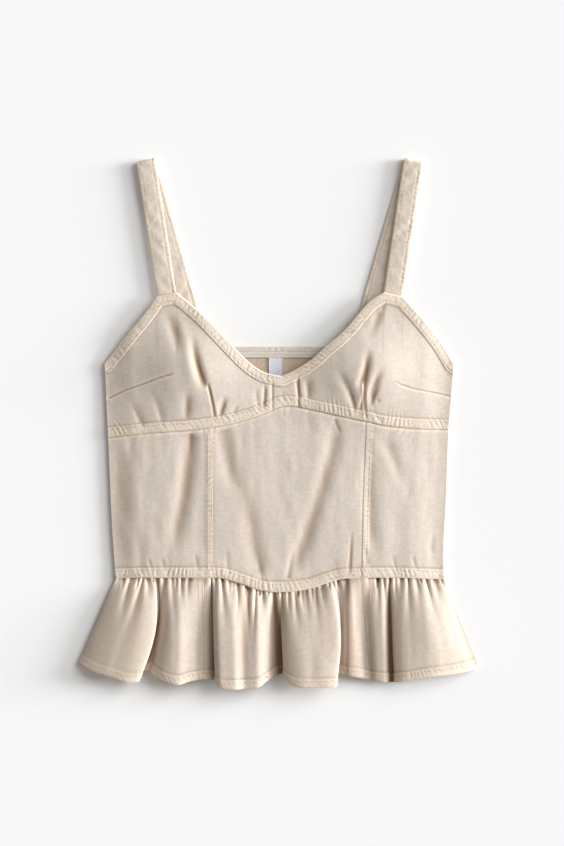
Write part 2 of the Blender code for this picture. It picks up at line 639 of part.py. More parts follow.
ruffle = Ruffle()
left_seam, right_seam = ruffle.along[SEAM_WAVE_LEFT], ruffle.along[SEAM_WAVE_RIGHT]
make_ruffle_front("peplum_side_left", ruffle, 0.0, left_seam - half_gap, ruffle_twill)
make_ruffle_front("peplum_center_front", ruffle, left_seam + half_gap, right_seam - half_gap, ruffle_twill)
make_ruffle_front("peplum_side_right", ruffle, right_seam + half_gap, ruffle.length, ruffle_twill)

make_back("back_bodice", back_twill)
make_back_band("back_neck_band", band_twill)
make_label("label", label_satin)
make_back_ruffle("peplum_back", back_twill)

make_strap("strap_left", -1, (-128.5, 146), (-152.5, 299.5), strap_twill)
make_strap("strap_right", 1, (129, 147), (152, 299.5), strap_twill)
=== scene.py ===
import math

import bmesh
import bpy
import numpy as np
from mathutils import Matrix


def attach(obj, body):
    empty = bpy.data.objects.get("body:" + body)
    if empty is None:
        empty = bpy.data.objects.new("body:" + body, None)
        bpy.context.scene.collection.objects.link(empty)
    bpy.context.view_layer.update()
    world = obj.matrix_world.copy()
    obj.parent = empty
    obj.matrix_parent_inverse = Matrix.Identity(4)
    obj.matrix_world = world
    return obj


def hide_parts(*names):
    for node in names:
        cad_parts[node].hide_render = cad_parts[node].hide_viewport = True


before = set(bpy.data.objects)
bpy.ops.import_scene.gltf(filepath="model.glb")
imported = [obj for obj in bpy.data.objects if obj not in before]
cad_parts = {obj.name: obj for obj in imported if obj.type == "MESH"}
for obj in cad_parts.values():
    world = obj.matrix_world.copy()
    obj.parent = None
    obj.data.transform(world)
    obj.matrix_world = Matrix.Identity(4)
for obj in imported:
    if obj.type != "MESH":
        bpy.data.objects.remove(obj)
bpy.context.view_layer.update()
mm = 0.001
seamGap = 0.06  # the joins are drawn closed
layerGap = 0.3

# ---- plan of the seams, as (x, y) from the left side to the right ----
underbustPoints = [(-195, -16), (-149, -11), (-103, -8), (-80, -5), (-62, -2), (-36, 5), (-14, 13), (-2, 18),
                   (9, 19.5), (18, 19), (33, 16), (51, 12), (74, 7), (98, 2), (121, -3), (156, -6), (191, -7)]
waistPoints = [(-186, -176), (-148, -175), (-73, -175), (-44, -182), (-24, -189), (-4, -191.5), (16, -190.5),
               (36, -187), (57, -180), (74, -176), (124, -175), (186, -177)]
armholeLeftPoints = [(-199, 69), (-175, 99), (-156, 122), (-140, 144)]
necklineLeftPoints = [(-117, 149), (-89, 125), (-62, 97), (-41, 75), (-28, 64), (-14, 57), (2, 54)]
necklineRightPoints = [(2, 54), (11, 58), (24, 65), (36, 73), (49, 85), (61, 95), (74, 107), (85, 120), (103, 140),
                       (118, 149)]
armholeRightPoints = [(140, 144), (171, 108), (186, 88), (197, 69)]
# side seams and lengthwise seams, as (y, x) from the waist up
sideLeftPoints = [(-178, -186), (-165, -187), (-110, -191), (-64, -193), (-15, -195), (28, -197), (69, -199)]
sideRightPoints = [(-178, 186), (-155, 185), (-87, 188), (-7, 191), (29, 194), (69, 197)]
princessLeftPoints = [(-176, -75), (-90, -75.5), (-4, -75)]
princessRightPoints = [(-176, 92.5), (-100, 94), (4, 98)]
backTopPoints = [(-199, 68), (-150, 80), (-97, 87.5), (0, 87.5), (102, 87), (150, 80), (197, 68)]
bridgeLeftX, bridgeRightX = -8.5, 21.0
waistSideY, underarmY = -176.0, 68.0

# how the two layers lie on each other, and how much of each fold's height the soft cloth keeps
layers = {"sideHeight": 3.1, "frontLift": 4.4, "liftReach": 34.0, "farReach": 80.0, "sideCurl": 1.5,
          "curlReach": 10.0, "foldShare": 0.6}

# soft domes of the cups and the belly: x, y, reach across, reach along, height
domes = [(-98, 62, 62, 48, 10.5), (98, 62, 60, 48, 10.5), (-62, -95, 70, 75, 1.6), (70, -95, 70, 75, 1.6)]

# large soft folds: x1, y1, x2, y2, bow, width, height, fade in, fade out
folds = [
    (-130, 136, -110, 70, 2, 6.5, -2.4, 0.5, 0.5), (-99, 106, -82, 36, -3, 4.6, -3.4, 0.6, 0.25),
    (-116, 128, -94, 26, 0, 6.5, 1.4, 0.5, 0.4), (-104, 42, -104, 2, 0, 6.0, -1.8, 0.5, 0.4),
    (-60, 34, -69, 8, 0, 4.6, -1.5, 0.5, 0.3), (-176, 38, -152, -8, 2, 5.0, -1.0, 0.5, 0.3),
    (-150, 46, -128, -6, 2, 5.0, -1.1, 0.5, 0.3), (102, 90, 88, 34, 3, 4.6, -3.2, 0.5, 0.3),
    (119, 66, 103, 16, -4, 4.6, -2.2, 0.5, 0.35), (62, 68, 87, 12, 3, 5.4, -2.3, 0.5, 0.3),
    (118, 136, 100, 92, 0, 5.0, -1.8, 0.3, 0.6), (32, 56, 35, 24, 0, 5.0, -1.4, 0.4, 0.5),
    (-100, -6, -124, -160, 4, 8.5, -2.8, 0.08, 0.35), (-170, -12, -165, -58, 0, 6.0, -1.4, 0.1, 0.7),
    (-163, -108, -156, -172, 0, 6.5, -1.6, 0.6, 0.1), (-64, -2, -44, -84, -4, 9.0, -2.0, 0.1, 0.4),
    (-45, -58, -22, -176, 2, 9.0, -2.0, 0.4, 0.1), (68, 2, 12, -178, 4, 8.5, -2.6, 0.15, 0.15),
    (104, -20, 110, -158, -5, 7.5, -1.9, 0.3, 0.3), (118, -10, 146, -82, 0, 7.0, -1.5, 0.3, 0.6),
]
# smaller creases that only the dressed cloth shows, in the same columns
creases = [
    (-95, 80, -82, 38, -2, 2.0, -0.9, 0.5, 0.2), (-104, 34, -106, 2, 0, 2.8, -0.5, 0.5, 0.2),
    (-61, 30, -68, 6, 0, 2.0, -0.8, 0.5, 0.2), (-46, 24, -54, 6, 0, 2.2, -0.5, 0.5, 0.2),
    (-168, 24, -154, -6, 0, 2.6, -0.4, 0.5, 0.2), (-140, 26, -132, -4, 0, 2.6, -0.4, 0.5, 0.2),
    (98, 74, 89, 10, 3, 1.8, -1.4, 0.4, 0.2), (115, 46, 103, 18, -2, 2.2, -1.0, 0.5, 0.3),
    (76, 44, 86, 12, 1, 2.0, -0.9, 0.5, 0.2), (110, 30, 113, 22, 0, 2.0, -0.6, 0.4, 0.4),
    (118, 137, 116, 126, 0, 2.2, -0.9, 0.3, 0.5), (-17, 46, -19, 16, 1, 1.9, -1.3, 0.3, 0.2),
    (19, 54, 24, 26, -1, 1.9, -1.4, 0.3, 0.2), (-27, 42, -23, 12, 0, 2.6, -0.7, 0.4, 0.2),
    (31, 50, 33, 24, 0, 2.6, -0.8, 0.4, 0.3), (4, 40, 4, 22, 0, 1.8, -0.4, 0.4, 0.3),
    (-101, -11, -102, -40, 0, 2.6, -1.0, 0.05, 0.7), (82, -118, 79, -170, 0, 1.8, -0.9, 0.4, 0.1),
    (96, -134, 100, -162, 0, 2.0, -0.6, 0.4, 0.2), (62, 6, 70, -14, 0, 2.2, -0.8, 0.1, 0.5),
    (17, -136, 9, -178, 0, 3.0, -0.9, 0.6, 0.1), (-60, -134, -58, -174, 0, 2.6, -0.5, 0.6, 0.1),
    (-27, -140, -18, -182, 0, 3.0, -0.7, 0.6, 0.1), (-134, -150, -130, -168, 0, 2.0, -0.6, 0.4, 0.1),
    (-150, -150, -144, -168, 0, 2.0, -0.6, 0.4, 0.1), (-96, -146, -92, -168, 0, 2.2, -0.5, 0.4, 0.1),
    (128, -146, 132, -168, 0, 2.2, -0.5, 0.4, 0.1), (150, -146, 156, -168, 0, 2.2, -0.6, 0.4, 0.1),
    (176, -120, 172, -150, 0, 4.0, -0.6, 0.5, 0.3),
]
# painted shade along the folds, in the same columns, with its share in place of the height
paintedFoldShades = [
    (-130, 135, -113, 84, 0, 5.0, 0.3, 0.4, 0.5), (-98, 94, -84, 38, -2, 3.2, 0.85, 0.6, 0.15),
    (-80, 43, -74, 6, 0, 1.5, 0.95, 0.15, 0.15), (-104, 36, -104, 2, 0, 5.0, 0.25, 0.4, 0.3),
    (-60, 28, -68, 6, 0, 2.4, 0.4, 0.4, 0.2), (-16, 44, -17, 16, 0, 1.7, 0.65, 0.3, 0.2),
    (20.5, 56, 22, 14, 0, 1.5, 0.65, 0.3, 0.2), (-176, 30, -152, -8, 2, 4.0, 0.2, 0.5, 0.3),
    (101, 88, 91, 40, 2, 3.4, 0.75, 0.5, 0.3), (91, 46, 95, 6, 2, 2.0, 0.7, 0.3, 0.15),
    (120, 68, 103, 16, -3, 3.4, 0.4, 0.4, 0.3), (77, 42, 87, 12, 1, 1.6, 0.5, 0.4, 0.2),
    (62, 6, 70, -14, 0, 2.2, 0.3, 0.2, 0.5), (-102, -8, -123, -150, 4, 7.0, 0.35, 0.05, 0.4),
    (-64, -4, -20, -168, -3, 8.0, 0.25, 0.1, 0.2), (62, -16, 12, -172, 3, 8.0, 0.28, 0.3, 0.2),
    (-176, -20, -172, -165, 0, 11.0, 0.25, 0.2, 0.2), (82, -130, 79, -174, 0, 2.0, 0.4, 0.4, 0.1),
    (104, -14, 106, -40, 0, 2.0, 0.4, 0.2, 0.4),
]

# lengthwise folds of the front ruffle: x at the seam, x, y and z at the hem, swing to the right half way down
waves = [
    (-186, -228, -273, 3.5, 0), (-177, -210, -282, 12, 0), (-161, -191, -288, 17, 1), (-150, -173, -293, 20, 5),
    (-144, -161, -292, 18, 11), (-142, -167, -287, 10, 11), (-139, -163, -281, 5, 11), (-135.5, -149, -281, 5.5, 6),
    (-132, -144, -285, 10, 4), (-125, -131, -292, 17, 1), (-115, -116, -296, 19, 0), (-103, -102, -292, 15, 0),
    (-86, -85, -290, 9, 0), (-79.5, -74, -290, 5.5, 0), (-77, -67, -290, 6, 0), (-75, -72, -296, 14, -1),
    (-70, -67, -300, 21, -1), (-55, -52, -301, 22, 0), (-40, -39, -300, 18, 0), (-27, -26, -299, 19, 0),
    (-16, -15, -292, 13, 1), (-9, -7, -287, 6.5, 0), (-5, 0, -284, 5.5, -1), (-1, 7, -282, 6, -1),
    (2.5, 5, -287, 12, -1), (8, 12, -295, 19, -1), (23, 28, -299, 22, 0), (43, 50, -299, 22, 2),
    (57, 63, -298, 19, 7), (60, 58, -291, 12, 8), (63.5, 60, -285, 6, 7), (69, 69, -284, 6.5, 2),
    (76, 78, -286, 13, 1), (84, 89, -288, 9.5, 0), (88.5, 97.5, -290, 7, 0), (91, 102, -291, 6.6, 0),
    (97, 105.5, -291.5, 7.2, 0), (104, 109.5, -292, 11, 0), (114, 118, -293, 12, 0), (121.5, 124.5, -293, 6.5, 0),
    (125, 130, -293, 6.5, -1), (129, 131, -293, 12, -1), (139, 139, -292, 17, 0), (157, 169, -287, 19, 0),
    (173, 195, -284, 15, 0), (182, 213, -281, 9, 0), (186, 225, -277, 3.5, 0),
]
seamWaveLeft, seamWaveRight = 12, 35

# gathers under the waist seam: x, depth, reach as a share of the ruffle
gathers = [
    (-180, 1.4, 0.15), (-169, 2.6, 0.3), (-155, 3.2, 0.4), (-149, 2.2, 0.15), (-140, 2.8, 0.3), (-131, 2.6, 0.2),
    (-122, 2.8, 0.3), (-117, 2.2, 0.15), (-111, 2.6, 0.2), (-104, 1.8, 0.15), (-73, 2.4, 0.2), (-65, 2.6, 0.3),
    (-57, 2.0, 0.15), (-52, 2.2, 0.15), (-47, 2.2, 0.2), (-37, 3.0, 0.4), (-27, 2.6, 0.35), (-19, 2.4, 0.2),
    (-7, 3.4, 0.35), (2, 3.4, 0.4), (10, 2.4, 0.2), (17, 2.4, 0.3), (25, 2.2, 0.15), (30, 2.2, 0.2),
    (36, 2.2, 0.15), (41, 2.2, 0.2), (47, 2.0, 0.15), (60, 2.2, 0.2), (67, 2.0, 0.15), (75, 2.4, 0.2),
    (101, 2.0, 0.15), (106, 2.2, 0.15), (112, 2.4, 0.25), (118, 2.8, 0.2), (124, 3.2, 0.4), (131, 2.2, 0.2),
    (138, 2.4, 0.2), (146, 2.2, 0.3), (155, 2.0, 0.15), (166, 2.4, 0.3), (176, 2.0, 0.2),
]


def smoothCurve(points):
    # goes through the points without overshooting them
    xs, ys = np.array(points, float).T
    run = np.diff(xs)
    rise = np.diff(ys) / run
    slope = np.zeros(len(xs))
    sameWay = rise[:-1] * rise[1:] > 0
    before, after = 2 * run[1:] + run[:-1], run[1:] + 2 * run[:-1]
    first, second = np.where(sameWay, rise[:-1], 1), np.where(sameWay, rise[1:], 1)
    slope[1:-1] = np.where(sameWay, (before + after) / (before / first + after / second), 0)
    slope[0], slope[-1] = rise[0], rise[-1]

    def value(x):
        x = np.clip(np.asarray(x, float), xs[0], xs[-1])
        k = np.clip(np.searchsorted(xs, x, side="right") - 1, 0, len(run) - 1)
        t = (x - xs[k]) / run[k]
        return (ys[k] * (1 + 2 * t) * (1 - t) ** 2 + ys[k + 1] * t * t * (3 - 2 * t)
                + run[k] * (slope[k] * t * (1 - t) ** 2 - slope[k + 1] * t * t * (1 - t)))

    return value


def ease(t):
    t = np.clip(t, 0, 1)
    return t * t * (3 - 2 * t)


def wander(seed, s, pitch):
    # slow uneven drift between -1 and 1 along a line
    table = np.random.default_rng(seed).uniform(-1, 1, 512)
    s = np.asarray(s, float) / pitch
    k = np.floor(s).astype(int)
    t = ease(s - k)
    return table[k % 512] * (1 - t) + table[(k + 1) % 512] * t


def cloud(seed, x, y, pitchX, pitchY):
    # soft uneven swell between -1 and 1 over a surface
    table = np.random.default_rng(seed).uniform(-1, 1, (128, 128))
    x, y = np.asarray(x, float) / pitchX, np.asarray(y, float) / pitchY
    i, j = np.floor(x).astype(int), np.floor(y).astype(int)
    u, v = ease(x - i), ease(y - j)
    i, j = i % 128, j % 128
    k, l = (i + 1) % 128, (j + 1) % 128
    low = table[i, j] * (1 - u) + table[k, j] * u
    high = table[i, l] * (1 - u) + table[k, l] * u
    return low * (1 - v) + high * v


underbust = smoothCurve(underbustPoints)
waist = smoothCurve(waistPoints)
armholeLeft, armholeRight = smoothCurve(armholeLeftPoints), smoothCurve(armholeRightPoints)
necklineLeft, necklineRight = smoothCurve(necklineLeftPoints), smoothCurve(necklineRightPoints)
sideLeft, sideRight = smoothCurve(sideLeftPoints), smoothCurve(sideRightPoints)
princessLeft, princessRight = smoothCurve(princessLeftPoints), smoothCurve(princessRightPoints)
backTop = smoothCurve(backTopPoints)


def cupTop(x):
    # upper edge of the front: armhole, strap end and neckline on each side
    x = np.asarray(x, float)
    return np.select(
        [x < -140, x < -117, x < 2, x < 118, x < 140],
        [armholeLeft(x), np.interp(x, [-140, -117], [144, 149]), necklineLeft(x), necklineRight(x),
         np.interp(x, [118, 140], [149, 144])],
        armholeRight(x))


def foldHeight(x, y, fold):
    x1, y1, x2, y2, bow, width, height, fadeIn, fadeOut = fold
    length = math.hypot(x2 - x1, y2 - y1)
    ux, uy = (x2 - x1) / length, (y2 - y1) / length
    share = ((x - x1) * ux + (y - y1) * uy) / length
    held = np.clip(share, 0, 1)
    aside = (y - y1) * ux - (x - x1) * uy - bow * 4 * held * (1 - held)
    return height * np.exp(-((aside / width) ** 2)) * ease(share / fadeIn) * ease((1 - share) / fadeOut)


def frontHeight(x, y):
    # height of the inner side of the cups and the front panels
    x, y = np.asarray(x, float), np.asarray(y, float)
    inside = np.minimum(x - sideLeft(y), sideRight(y) - x)
    inward = 0.6 * ease(inside / layers["liftReach"]) + 0.4 * ease(inside / layers["farReach"])
    swell = sum(h * np.exp(-(((x - cx) / a) ** 2) - ((y - cy) / b) ** 2) for cx, cy, a, b, h in domes)
    swell = swell + layers["foldShare"] * sum(foldHeight(x, y, fold) for fold in folds)
    return layers["sideHeight"] + inward * (layers["frontLift"] + swell)


def backHeight(x, y):
    inward = np.minimum(x - sideLeft(y), sideRight(y) - x)
    return layers["sideCurl"] * (1 - ease(inward / layers["curlReach"]))


class SeamLine:
    # a line in plan that tells how far along it and how far beside it a point lies, left of its way being positive
    def __init__(self, points):
        self.points = np.array(points, float)
        self.step = np.diff(self.points, axis=0)
        self.size = np.hypot(*self.step.T)
        self.run = np.concatenate([[0], np.cumsum(self.size)])
        self.length = self.run[-1]

    def near(self, x, y):
        x, y = np.broadcast_arrays(np.asarray(x, float), np.asarray(y, float))
        flat = np.stack([x.ravel(), y.ravel()], axis=-1)
        along, beside = np.empty(len(flat)), np.empty(len(flat))
        for first in range(0, len(flat), 4000):
            toPoint = flat[first:first + 4000, None] - self.points[None, :-1]
            t = np.clip((toPoint * self.step).sum(-1) / self.size**2, 0, 1)
            gap = toPoint - t[..., None] * self.step
            distance = (gap**2).sum(-1)
            k = distance.argmin(1)
            rows = np.arange(len(k))
            cross = self.step[k, 0] * toPoint[rows, k, 1] - self.step[k, 1] * toPoint[rows, k, 0]
            along[first:first + 4000] = self.run[k] + t[rows, k] * self.size[k]
            beside[first:first + 4000] = np.sqrt(distance[rows, k]) * np.where(cross < 0, -1, 1)
        return along.reshape(x.shape), beside.reshape(x.shape)

    def offset(self, distance, trimStart=0.0, trimEnd=0.0, step=0.7):
        # the line moved to its left, without the loops that a corner would make
        runs = np.arange(trimStart, self.length - trimEnd, step)
        k = np.clip(np.searchsorted(self.run, runs, side="right") - 1, 0, len(self.size) - 1)
        way = self.step[k] / self.size[k, None]
        points = self.points[k] + way * (runs - self.run[k])[:, None]
        points = points + np.stack([-way[:, 1], way[:, 0]], axis=-1) * distance
        beside = self.near(points[:, 0], points[:, 1])[1]
        return points[np.abs(beside) > abs(distance) - 0.08]


def curveLine(curve, start, end, step=3.0):
    xs = np.linspace(start, end, max(2, int(abs(end - start) / step)))
    return SeamLine(np.column_stack([xs, curve(xs)]))


def uprightLine(curve, start, end, step=6.0):
    ys = np.linspace(start, end, max(2, int(abs(end - start) / step)))
    return SeamLine(np.column_stack([curve(ys), ys]))


underbustLine = curveLine(underbust, -195, 191)
waistLine = curveLine(waist, -186, 186)
princessLeftLine = uprightLine(princessLeft, -176, -4)
princessRightLine = uprightLine(princessRight, -176, 3)
topXs = np.concatenate([np.linspace(197, 140, 22), np.linspace(118, 2, 45), np.linspace(1, -117, 45),
                        np.linspace(-140, -199, 22)])
topLine = SeamLine(np.column_stack([topXs, cupTop(topXs)]))  # from right to left, so that the cloth is on its left
sideLeftLine = uprightLine(sideLeft, -177, 69)
sideRightLine = uprightLine(sideRight, -177, 69)


def puckers(s, d, look):
    # rounded ridges with narrow valleys across a stitched band, which run out into the cloth beyond it
    pitch, seed = look["pitch"], look["seed"]
    slant = look["slant"] + 0.45 * wander(seed + 3, s, 6 * pitch)
    phase = math.pi * ((s + slant * d) / pitch + 0.8 * wander(seed, s, 2.2 * pitch))
    ridge = np.abs(np.sin(phase)) ** 0.6 - 0.7
    strength = np.clip(0.75 + 0.6 * wander(seed + 1, s, 2.5 * pitch), 0.15, 1.4)
    for calmFrom, calmTo in look.get("calm", ()):
        strength = strength * (1 - 0.85 * ease((s - calmFrom) / 5) * ease((calmTo - s) / 5))
    reach = look["reach"] * (0.65 + 0.55 * wander(seed + 2, s, 1.3 * pitch))
    inBand = ease((d - look["start"]) / 1.8)
    beyond = np.exp(-np.maximum(d - look["end"], 0) / reach)
    return look["height"] * ridge * strength * inBand * beyond


def stitchDents(s, d, rows, depth=0.32, pitch=3.2):
    dents = 0.0
    for row in rows:
        dents = dents - depth * np.exp(-(((d - row) / 0.8) ** 2)) * (0.75 + 0.25 * np.cos(2 * math.pi * s / pitch))
    return dents


def rowTone(s, d, rows, seed, share=1.0):
    # paler and browner patches along each stitch row: the paler ones as wear on the roped cloth, the browner ones as
    # painted shade in the dents where the stitches pull the cloth in
    tone = 0.0
    for k, row in enumerate(rows):
        turn = 2 * math.pi * ((s + 0.7 * d) / 5.0 + 0.6 * wander(seed + k, s, 9))
        strength = 1.3 + 0.9 * wander(seed + 5 + k, s, 15)
        tone = tone - share * strength * (np.sin(turn) + 0.3) * np.exp(-(((d - row) / 2.0) ** 2))
    return tone


def felledBand(d, width, rise):
    # the extra layers of a felled seam, rounded at the edge and stepping down to the single cloth
    return rise * ease((d + 0.4) / 1.4) * (1 - ease((d - width) / 1.8))


def sharpCrease(x, y, line, look):
    # a sewn dart: a fine groove with a lip on one side
    s, beside = line.near(x, y)
    share = s / line.length
    ends = ease(share / look["fadeIn"]) * ease((1 - share) / look["fadeOut"])
    away = beside * look["lipSide"]
    groove = -look["depth"] * np.exp(-((beside / look["width"]) ** 2))
    lip = look["lip"] * np.exp(-np.maximum(away - look["width"], 0) / look["lipReach"]) * (away > 0)
    return ends * (groove + lip * ease(away / look["width"]))


def relief(z, cells):
    # how far each point stands above the mean of its surroundings
    def blur(values, axis):
        padded = np.concatenate([np.repeat(values.take([0], axis), cells, axis), values,
                                 np.repeat(values.take([-1], axis), cells, axis)], axis)
        total = np.cumsum(np.insert(padded, 0, 0.0, axis), axis)
        size = 2 * cells + 1
        count = values.shape[axis]
        return (total.take(range(size, size + count), axis) - total.take(range(count), axis)) / size

    return z - blur(blur(z, 0), 1)


def normalsOf(points):
    across, up = np.gradient(points, axis=1), np.gradient(points, axis=0)
    normal = np.cross(across, up)
    return normal / np.linalg.norm(normal, axis=-1, keepdims=True)


# ---- materials ----
def toLinear(hexColour):
    channels = [int(hexColour[i:i + 2], 16) / 255 for i in (1, 3, 5)]
    return tuple(c / 12.92 if c <= 0.04045 else ((c + 0.055) / 1.055) ** 2.4 for c in channels) + (1.0,)


def addNode(tree, kind, settings=None, inputs=None):
    node = tree.nodes.new(kind)
    for name, value in (settings or {}).items():
        setattr(node, name, value)
    for name, value in (inputs or {}).items():
        if isinstance(value, bpy.types.NodeSocket):
            tree.links.new(value, node.inputs[name])
        else:
            node.inputs[name].default_value = value
    return node


def makeTwill(name, finish):
    # Garment-dyed cotton twill, washed soft: matt, with faint diagonal ribs, pale worn ridges, and painted shade as a
    # browner tint in dents and folds.
    material = bpy.data.materials.new(name)
    material.use_nodes = True
    tree = material.node_tree
    shader = tree.nodes["Principled BSDF"]
    plan = addNode(tree, "ShaderNodeAttribute", {"attribute_name": "clothPlan"}).outputs["Vector"]
    wearAndShade = addNode(tree, "ShaderNodeAttribute", {"attribute_name": "wearAndShade"}).outputs["Fac"]
    paintedFoldShade = addNode(tree, "ShaderNodeAttribute", {"attribute_name": "paintedFoldShade"}).outputs["Fac"]

    # Twill ribs, 1.6 mm apart: the real ones are about 0.8 mm and would not show.
    turned = addNode(tree, "ShaderNodeMapping", inputs={"Vector": plan, "Rotation": (0, 0, math.radians(-28))})
    ribs = addNode(tree, "ShaderNodeTexWave", {"bands_direction": "X"},
                   {"Vector": turned.outputs["Vector"], "Scale": 0.314 / 0.0016, "Distortion": 1.2, "Detail": 2.0})
    # Uneven yarns, drawn 2 mm wide and some 10 mm long, along the warp and the weft.
    warpPlan = addNode(tree, "ShaderNodeMapping", inputs={"Vector": plan, "Scale": (1 / 0.002, 1 / 0.012, 1)})
    weftPlan = addNode(tree, "ShaderNodeMapping", inputs={"Vector": plan, "Scale": (1 / 0.008, 1 / 0.002, 1)})
    warp = addNode(tree, "ShaderNodeTexNoise", inputs={"Vector": warpPlan.outputs["Vector"], "Scale": 1.0})
    weft = addNode(tree, "ShaderNodeTexNoise", inputs={"Vector": weftPlan.outputs["Vector"], "Scale": 1.0})
    yarns = addNode(tree, "ShaderNodeMath", {"operation": "ADD"}, {0: warp.outputs["Fac"], 1: weft.outputs["Fac"]})
    yarnShade = addNode(tree, "ShaderNodeMapRange", inputs={
        "Value": yarns.outputs["Value"], "From Min": 0.8, "From Max": 1.4, "To Min": 0.0, "To Max": finish["yarns"]})
    # Washing leaves soft clouds some 35 mm across, and small flecks of 4 mm.
    clouds = addNode(tree, "ShaderNodeTexNoise", inputs={"Vector": plan, "Scale": 1 / 0.035, "Detail": 3.0})
    flecks = addNode(tree, "ShaderNodeTexNoise", inputs={"Vector": plan, "Scale": 1 / 0.004, "Detail": 2.0})
    cloudShade = addNode(tree, "ShaderNodeMapRange", inputs={
        "Value": clouds.outputs["Fac"], "From Min": 0.35, "From Max": 0.7, "To Min": 0.0, "To Max": finish["clouds"]})
    fleckShade = addNode(tree, "ShaderNodeMapRange", inputs={
        "Value": flecks.outputs["Fac"], "From Min": 0.42, "From Max": 0.64, "To Min": 0.0, "To Max": finish["flecks"]})
    colour = toLinear(finish["base"])
    # Peach patches some 8 mm across, where the dye took less.
    patches = addNode(tree, "ShaderNodeTexNoise", inputs={"Vector": plan, "Scale": 1 / 0.008, "Detail": 2.0})
    patchShade = addNode(tree, "ShaderNodeMapRange", inputs={
        "Value": patches.outputs["Fac"], "From Min": 0.45, "From Max": 0.62, "To Min": 0.0, "To Max": finish["patches"]})
    for share, tint in ((cloudShade.outputs["Result"], finish["faded"]), (patchShade.outputs["Result"], finish["ridge"]),
                        (fleckShade.outputs["Result"], finish["dull"]),
                        (yarnShade.outputs["Result"], finish["dull"])):
        colour = addNode(tree, "ShaderNodeMix", {"data_type": "RGBA"}, {
            0: share, 6: colour, 7: toLinear(tint)}).outputs[2]
    # Worn ridges and edges are paler; stitched dents, hollows and folds get painted shade, a browner tint.
    onRidge = addNode(tree, "ShaderNodeMapRange", inputs={
        "Value": wearAndShade, "From Min": 0.0, "From Max": 1.0, "To Min": 0.0, "To Max": finish["ridgeShare"]})
    inHollowShade = addNode(tree, "ShaderNodeMapRange", inputs={
        "Value": wearAndShade, "From Min": 0.0, "From Max": -1.0, "To Min": 0.0, "To Max": finish["hollowShadeShare"]})
    for share, tint in ((onRidge.outputs["Result"], finish["ridge"]), (inHollowShade.outputs["Result"], finish["hollowShade"]),
                        (paintedFoldShade, finish["hollowShade"])):
        colour = addNode(tree, "ShaderNodeMix", {"data_type": "RGBA"}, {
            0: share, 6: colour, 7: toLinear(tint)}).outputs[2]
    tree.links.new(colour, shader.inputs["Base Color"])
    threads = addNode(tree, "ShaderNodeMath", {"operation": "MULTIPLY_ADD"}, {
        0: ribs.outputs["Fac"], 1: 0.6, 2: yarns.outputs["Value"]})
    bump = addNode(tree, "ShaderNodeBump", inputs={
        "Height": threads.outputs["Value"], "Strength": finish["bump"], "Distance": 0.00018})
    tree.links.new(bump.outputs["Normal"], shader.inputs["Normal"])
    rough = addNode(tree, "ShaderNodeMapRange", inputs={
        "Value": yarns.outputs["Value"], "From Min": 0.7, "From Max": 1.3, "To Min": 0.8, "To Max": 0.95})
    tree.links.new(rough.outputs["Result"], shader.inputs["Roughness"])
    shader.inputs["Specular IOR Level"].default_value = 0.25
    shader.inputs["Sheen Weight"].default_value = finish["sheen"]
    shader.inputs["Sheen Roughness"].default_value = 0.5
    return material


# In each finish the darkest colour is the painted shade in dents, hollows and folds.
frontTwill = makeTwill("garment-dyed cotton twill, front", {
    "base": "#dacec3", "faded": "#e3dad1", "dull": "#c6b9aa", "ridge": "#f3e0cb", "hollowShade": "#9c7f61", "yarns": 0.45,
    "clouds": 0.5, "flecks": 0.4, "patches": 0.15, "ridgeShare": 0.8, "hollowShadeShare": 0.7, "bump": 0.35, "sheen": 0.1})
# The ruffle is the front's cloth, drawn darker and browner as painted shade.
ruffleTwill = makeTwill("garment-dyed cotton twill, ruffle", {
    "base": "#d4c6b8", "faded": "#dfd3c6", "dull": "#c0b09f", "ridge": "#f0dcc6", "hollowShade": "#84664c", "yarns": 0.45,
    "clouds": 0.45, "flecks": 0.35, "patches": 0.12, "ridgeShare": 0.75, "hollowShadeShare": 0.75, "bump": 0.35, "sheen": 0.1})
# The inner side of the back is the same cloth, drawn darker and browner as painted shade, where the front shades it at
# the neck.
backTwill = makeTwill("cotton twill, inner side of the back", {
    "base": "#cfbca8", "faded": "#d8c7b5", "dull": "#bba68e", "ridge": "#ead5be", "hollowShade": "#8f7054", "yarns": 0.5,
    "clouds": 0.4, "flecks": 0.4, "patches": 0.2, "ridgeShare": 0.6, "hollowShadeShare": 0.6, "bump": 0.4, "sheen": 0.05})
bandTwill = makeTwill("cotton twill, turned neck band", {
    "base": "#d8d2cb", "faded": "#e1dcd6", "dull": "#c3b9ac", "ridge": "#f4e3d0", "hollowShade": "#a1886d", "yarns": 0.4,
    "clouds": 0.3, "flecks": 0.4, "patches": 0.2, "ridgeShare": 0.85, "hollowShadeShare": 0.5, "bump": 0.3, "sheen": 0.05})
strapTwill = makeTwill("garment-dyed cotton twill, straps", {
    "base": "#d9cec3", "faded": "#e2dad1", "dull": "#c4b6a6", "ridge": "#f4e2ce", "hollowShade": "#a78b6e", "yarns": 0.4,
    "clouds": 0.5, "flecks": 0.5, "patches": 0.6, "ridgeShare": 0.85, "hollowShadeShare": 0.6, "bump": 0.35, "sheen": 0.1})


